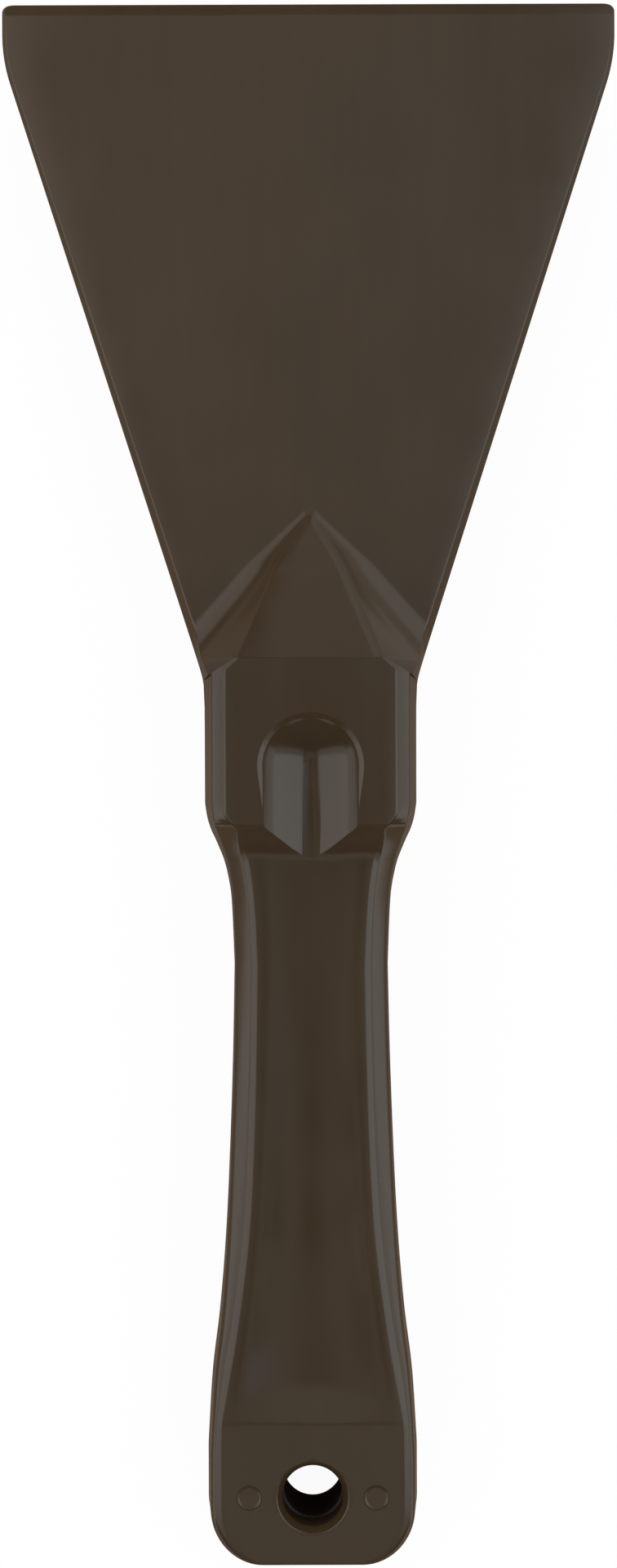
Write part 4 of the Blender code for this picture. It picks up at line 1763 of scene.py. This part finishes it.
@dataclass
class Studio:
    """White table with painted brown shade round the tool that only light meets, soft boxes on both sides,
    and a camera above.

    Attributes:
        camera_height: Camera above the middle of the tool's thickness.
        camera_place: How far right of the tool's middle the camera hangs, and how far towards the blade.
        camera_roll: How far the camera is turned about its own axis.
        camera_near: Nearest distance that the camera sees.
        lens: Focal length in millimetres.
        floor_size: Width of the table.
        floor_white: How much of the table's white the camera sees whatever light falls on it.
        table_light: How much light the table gives back.
        table_roughness: Roughness of table and paper.
        painted_shade_colour: Colour of the painted shade, a dark brown that only light meets, laid along
            the tool and across the table beyond it.
        shade_strip_middle: How far right of the tool's middle the strip of painted shade along the tool
            lies.
        shade_strip_edges: Distances from that strip's middle between which it fades into the table.
        dark_band_middle: How far beyond the tool's middle the band of the same painted shade lies, across
            the table.
        dark_band_edges: Distances from the band's middle between which it fades into the table.
        box_width: Width of the slanted soft boxes.
        box_out: How far beside the tool they stand.
        box_height: Height of their middles.
        box_turn: How far they are turned towards the tool.
        soft_boxes: For each pair, its name, its length, its place along the table, and the radiance
            of the warm box on the left and of the cool one on the right.
        panels: The other lamps.
        arm_radius: Radius of the grey plate above the tool that stands for the camera's arm.
        arm_centre: How far the plate's middle lies towards the blade.
        arm_length: How far the plate runs on over the handle.
        arm_height: Height of the plate.
        arm_grey: How much light the plate gives back.
        arm_steps: Steps round the plate.
        hood_size: Width and length of the dark hood above the grip.
        hood_middle: How far the hood's middle lies towards the blade.
        hood_height: Height of the hood.
        hood_grey: How much light the hood gives back.
        surround: Radiance of the room.
    """

    camera_height: float = 0.4777
    camera_place: Place = (-0.00035, -0.00115)
    camera_roll: float = radians(-0.18)
    camera_near: float = 0.01
    lens: float = 67.2
    floor_size: float = 6.0
    floor_white: float = 0.95
    table_light: float = 0.80
    table_roughness: float = 0.9
    painted_shade_colour: Triple = (0.21, 0.155, 0.115)
    shade_strip_middle: float = -0.018
    shade_strip_edges: Place = (0.075, 0.13)
    dark_band_middle: float = 0.42
    dark_band_edges: Place = (0.27, 0.31)
    box_width: float = 1.35
    box_out: float = 0.80
    box_height: float = 0.95
    box_turn: float = radians(45)
    soft_boxes: tuple[tuple[str, float, float, float, float], ...] = (
        ("soft_box", 0.77, -0.035, 1.28, 1.42),
        ("mid_box", 0.40, 0.55, 1.02, 0.95),
        ("far_box", 0.55, 1.025, 0.80, 0.90),
        ("back_box", 0.30, -0.57, 0.70, 0.55),
    )
    panels: tuple[Panel, ...] = (
        Panel("glow_box", (0.15, 0.30), (0.245, 0.01, 1.45), (0.0, 0.0), 0.66, BLUE),
        Panel("end_box_right", (1.35, 1.2), (0.80, 1.90, 0.95), (0.0, radians(45)), 0.50, COOL),
        Panel("low_box_left", (0.46, 1.20), (-1.30, -0.025, 0.235), (0.0, radians(-90)), 0.83, WARM),
        Panel("low_box_right", (0.46, 1.20), (1.30, -0.025, 0.235), (0.0, radians(90)), 0.84, COOL),
        Panel("low_box_far", (0.46, 1.875), (1.30, 1.5125, 0.235), (0.0, radians(90)), 0.42, COOL),
        Panel("side_fill_left", (0.40, 1.6), (-1.0, 0.0, 0.21), (0.0, radians(-80)), 2.6, shows=False),
        Panel("side_fill_right", (0.40, 1.6), (1.0, 0.0, 0.21), (0.0, radians(80)), 2.1, WARM, shows=False),
        Panel("ceiling_back", (0.50, 0.35), (0.0, -0.50, 1.6), (0.0, 0.0), 0.39),
        Panel("ceiling_box", (0.50, 0.50), (0.0, 0.55, 1.6), (0.0, 0.0), 0.41),
        Panel("ceiling_far", (0.50, 1.1), (0.0, 1.35, 1.6), (0.0, 0.0), 0.34),
        Panel("back_fill", (1.6, 0.8), (0.0, -1.2, 0.5), (radians(67), 0.0), 4.0, shows=False),
        Panel("front_fill", (1.6, 0.8), (0.0, 1.2, 0.5), (radians(-67), 0.0), 3.55, shows=False),
    )
    arm_radius: float = 0.195
    arm_centre: float = 0.164
    arm_length: float = 0.34
    arm_height: float = 1.5
    arm_grey: float = 0.34
    arm_steps: int = 64
    hood_size: Place = (0.105, 0.44)
    hood_middle: float = -0.12
    hood_height: float = 1.45
    hood_grey: float = 0.04
    surround: float = 0.05

    def lit(self) -> None:
        """Hangs the slanted soft boxes pair by pair, and then the other lamps."""
        for name, length, y, *lights in self.soft_boxes:
            for side, light, tint in zip(Side, lights, (WARM, COOL)):
                size, turn = (self.box_width, length), (0.0, side.value * self.box_turn)
                place = (side.value * self.box_out, y, self.box_height)
                Panel(f"{name}_{side.name.lower()}", size, place, turn, light, tint).hung()
        for panel in self.panels:
            panel.hung()

    def painted(self, thing: Thing, grey: float) -> None:
        """Paints a piece of the studio a plain grey.

        Args:
            thing: Piece of the studio.
            grey: How much light it gives back.
        """
        paint = bpy.data.materials.new(thing.name + "_paint")
        paint.use_nodes = True
        inputs = {"Base Color": opaque((grey, grey, grey)), "Specular IOR Level": 0.0}
        Wiring(paint.node_tree).feed(paint.node_tree.nodes["Principled BSDF"], inputs)
        thing.data.materials.append(paint)
        thing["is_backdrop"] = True

    def shaded(self, bench: Bench) -> None:
        """Hangs the camera's grey arm and dark hood over the tool, for its flat faces to mirror.

        Args:
            bench: Bench to make them on.
        """
        disc, sheet = bpy.ops.mesh.primitive_circle_add, bpy.ops.mesh.primitive_plane_add
        place = (0, self.arm_centre, self.arm_height)
        sizes = {"vertices": self.arm_steps, "radius": self.arm_radius, "fill_type": "NGON"}
        arm = bench.added("camera_arm", disc, place, **sizes)
        with bench.opened(arm, Part.EDGE, lambda edge: all(vert.co.y < MERGE for vert in edge.verts)):
            bpy.ops.mesh.extrude_edges_move(TRANSFORM_OT_translate={"value": (0, -self.arm_length, 0)})
        self.painted(arm, self.arm_grey)
        hood = bench.added("camera_hood", sheet, (0, self.hood_middle, self.hood_height), size=1.0)
        bpy.ops.transform.resize(value=(*self.hood_size, 1.0))
        self.painted(hood, self.hood_grey)

    def roomed(self) -> None:
        """Makes a room that is dim to the light and white to the camera."""
        world = bpy.data.worlds.new("room")
        bpy.context.scene.world = world
        world.use_nodes = True
        wiring = Wiring(world.node_tree)
        room = world.node_tree.nodes["Background"]
        wiring.feed(room, {"Color": opaque(WHITE), "Strength": self.surround})
        seen = wiring.node("ShaderNodeBackground", {"Color": opaque(WHITE)})
        wiring.seen_or_lit("World Output", room.outputs["Background"], seen.outputs["Background"])

    def floored(self, bench: Bench, level: float) -> None:
        """Lays the table under the tool, with painted brown shade on it that only the light meets.

        Args:
            bench: Bench to make it on.
            level: Height of its top.
        """
        sheet = bpy.ops.mesh.primitive_plane_add
        floor = bench.added("table_top", sheet, (0, 0, level), size=self.floor_size)
        material = bpy.data.materials.new("white_table")
        material.use_nodes = True
        wiring = Wiring(material.node_tree)
        place = wiring.node("ShaderNodeSeparateXYZ", {"Vector": wiring.place()})

        def off_painted_shade(axis: str, middle: float, edges: Place) -> Socket:
            """How far a place lies off a strip of painted shade.

            Args:
                axis: X or Y, whichever runs across the strip.
                middle: Where the strip's middle lies.
                edges: Distances from its middle between which the painted shade fades into the table.

            Returns:
                Socket of a value that is 0 on the painted shade and 1 beside it.
            """
            offset = wiring.reckoned("SUBTRACT", place.outputs[axis], middle)
            return wiring.ranged(wiring.reckoned("ABSOLUTE", offset), edges, ramp=Ramp.SOFT)

        # Painted shade and reflections: a dark brown strip along the tool and a band across the table
        # beyond the blade, which only light meets. The tool mirrors them as dark brown and gets dim brown
        # bounce light from them.
        off_strip = off_painted_shade("X", self.shade_strip_middle, self.shade_strip_edges)
        off_band = off_painted_shade("Y", self.dark_band_middle, self.dark_band_edges)
        table = opaque((self.table_light, self.table_light, self.table_light))
        colours = {"Color1": opaque(self.painted_shade_colour), "Color2": table}
        unshaded = wiring.reckoned("MULTIPLY", off_strip, off_band)
        shaded_colour = wiring.node("ShaderNodeMixRGB", {"Fac": unshaded, **colours}).outputs["Color"]
        lit = material.node_tree.nodes["Principled BSDF"]
        wiring.feed(lit, {"Base Color": shaded_colour, "Roughness": self.table_roughness})
        white = wiring.node("ShaderNodeBsdfDiffuse", {"Color": table}).outputs["BSDF"]
        glow = wiring.node("ShaderNodeEmission", {"Strength": 1.0}).outputs["Emission"]
        seen = wiring.node("ShaderNodeMixShader", {"Fac": self.floor_white, 1: white, 2: glow})
        wiring.seen_or_lit("Material Output", lit.outputs["BSDF"], seen.outputs["Shader"])
        floor.data.materials.append(material)
        floor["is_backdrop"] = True

    def filmed(self, middle: Vector) -> None:
        """Hangs the camera over the tool.

        Args:
            middle: Middle of the tool.
        """
        camera = bpy.data.objects.new("camera", bpy.data.cameras.new("camera"))
        camera.data.lens = self.lens
        camera.data.clip_start = self.camera_near
        camera.location = middle + Vector((*self.camera_place, self.camera_height))
        camera.rotation_euler.z = self.camera_roll
        bpy.context.scene.collection.objects.link(camera)
        bpy.context.scene.camera = camera


def main() -> None:
    logging.basicConfig(level=logging.INFO, format="%(message)s")
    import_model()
    frame_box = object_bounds()
    low, high = frame_box
    middle = Vector((0.0, (low.y + high.y) / 2, (low.z + high.z) / 2))
    bench = Bench(datum=Vector((0.0, low.y, middle.z)))
    handle = Handle()
    handle.dressed(bench)
    Blade(handle=handle).dressed(bench)
    for side in Side:
        LockPin(handle=handle, side=side, node=f"lock_pin_{side.name.lower()}").dressed(bench)
    studio = Studio()
    studio.floored(bench, low.z)
    studio.lit()
    studio.shaded(bench)
    studio.roomed()
    studio.filmed(middle)
    bpy.context.scene.view_settings.view_transform = "Standard"


if __name__ == "__main__":
    main()
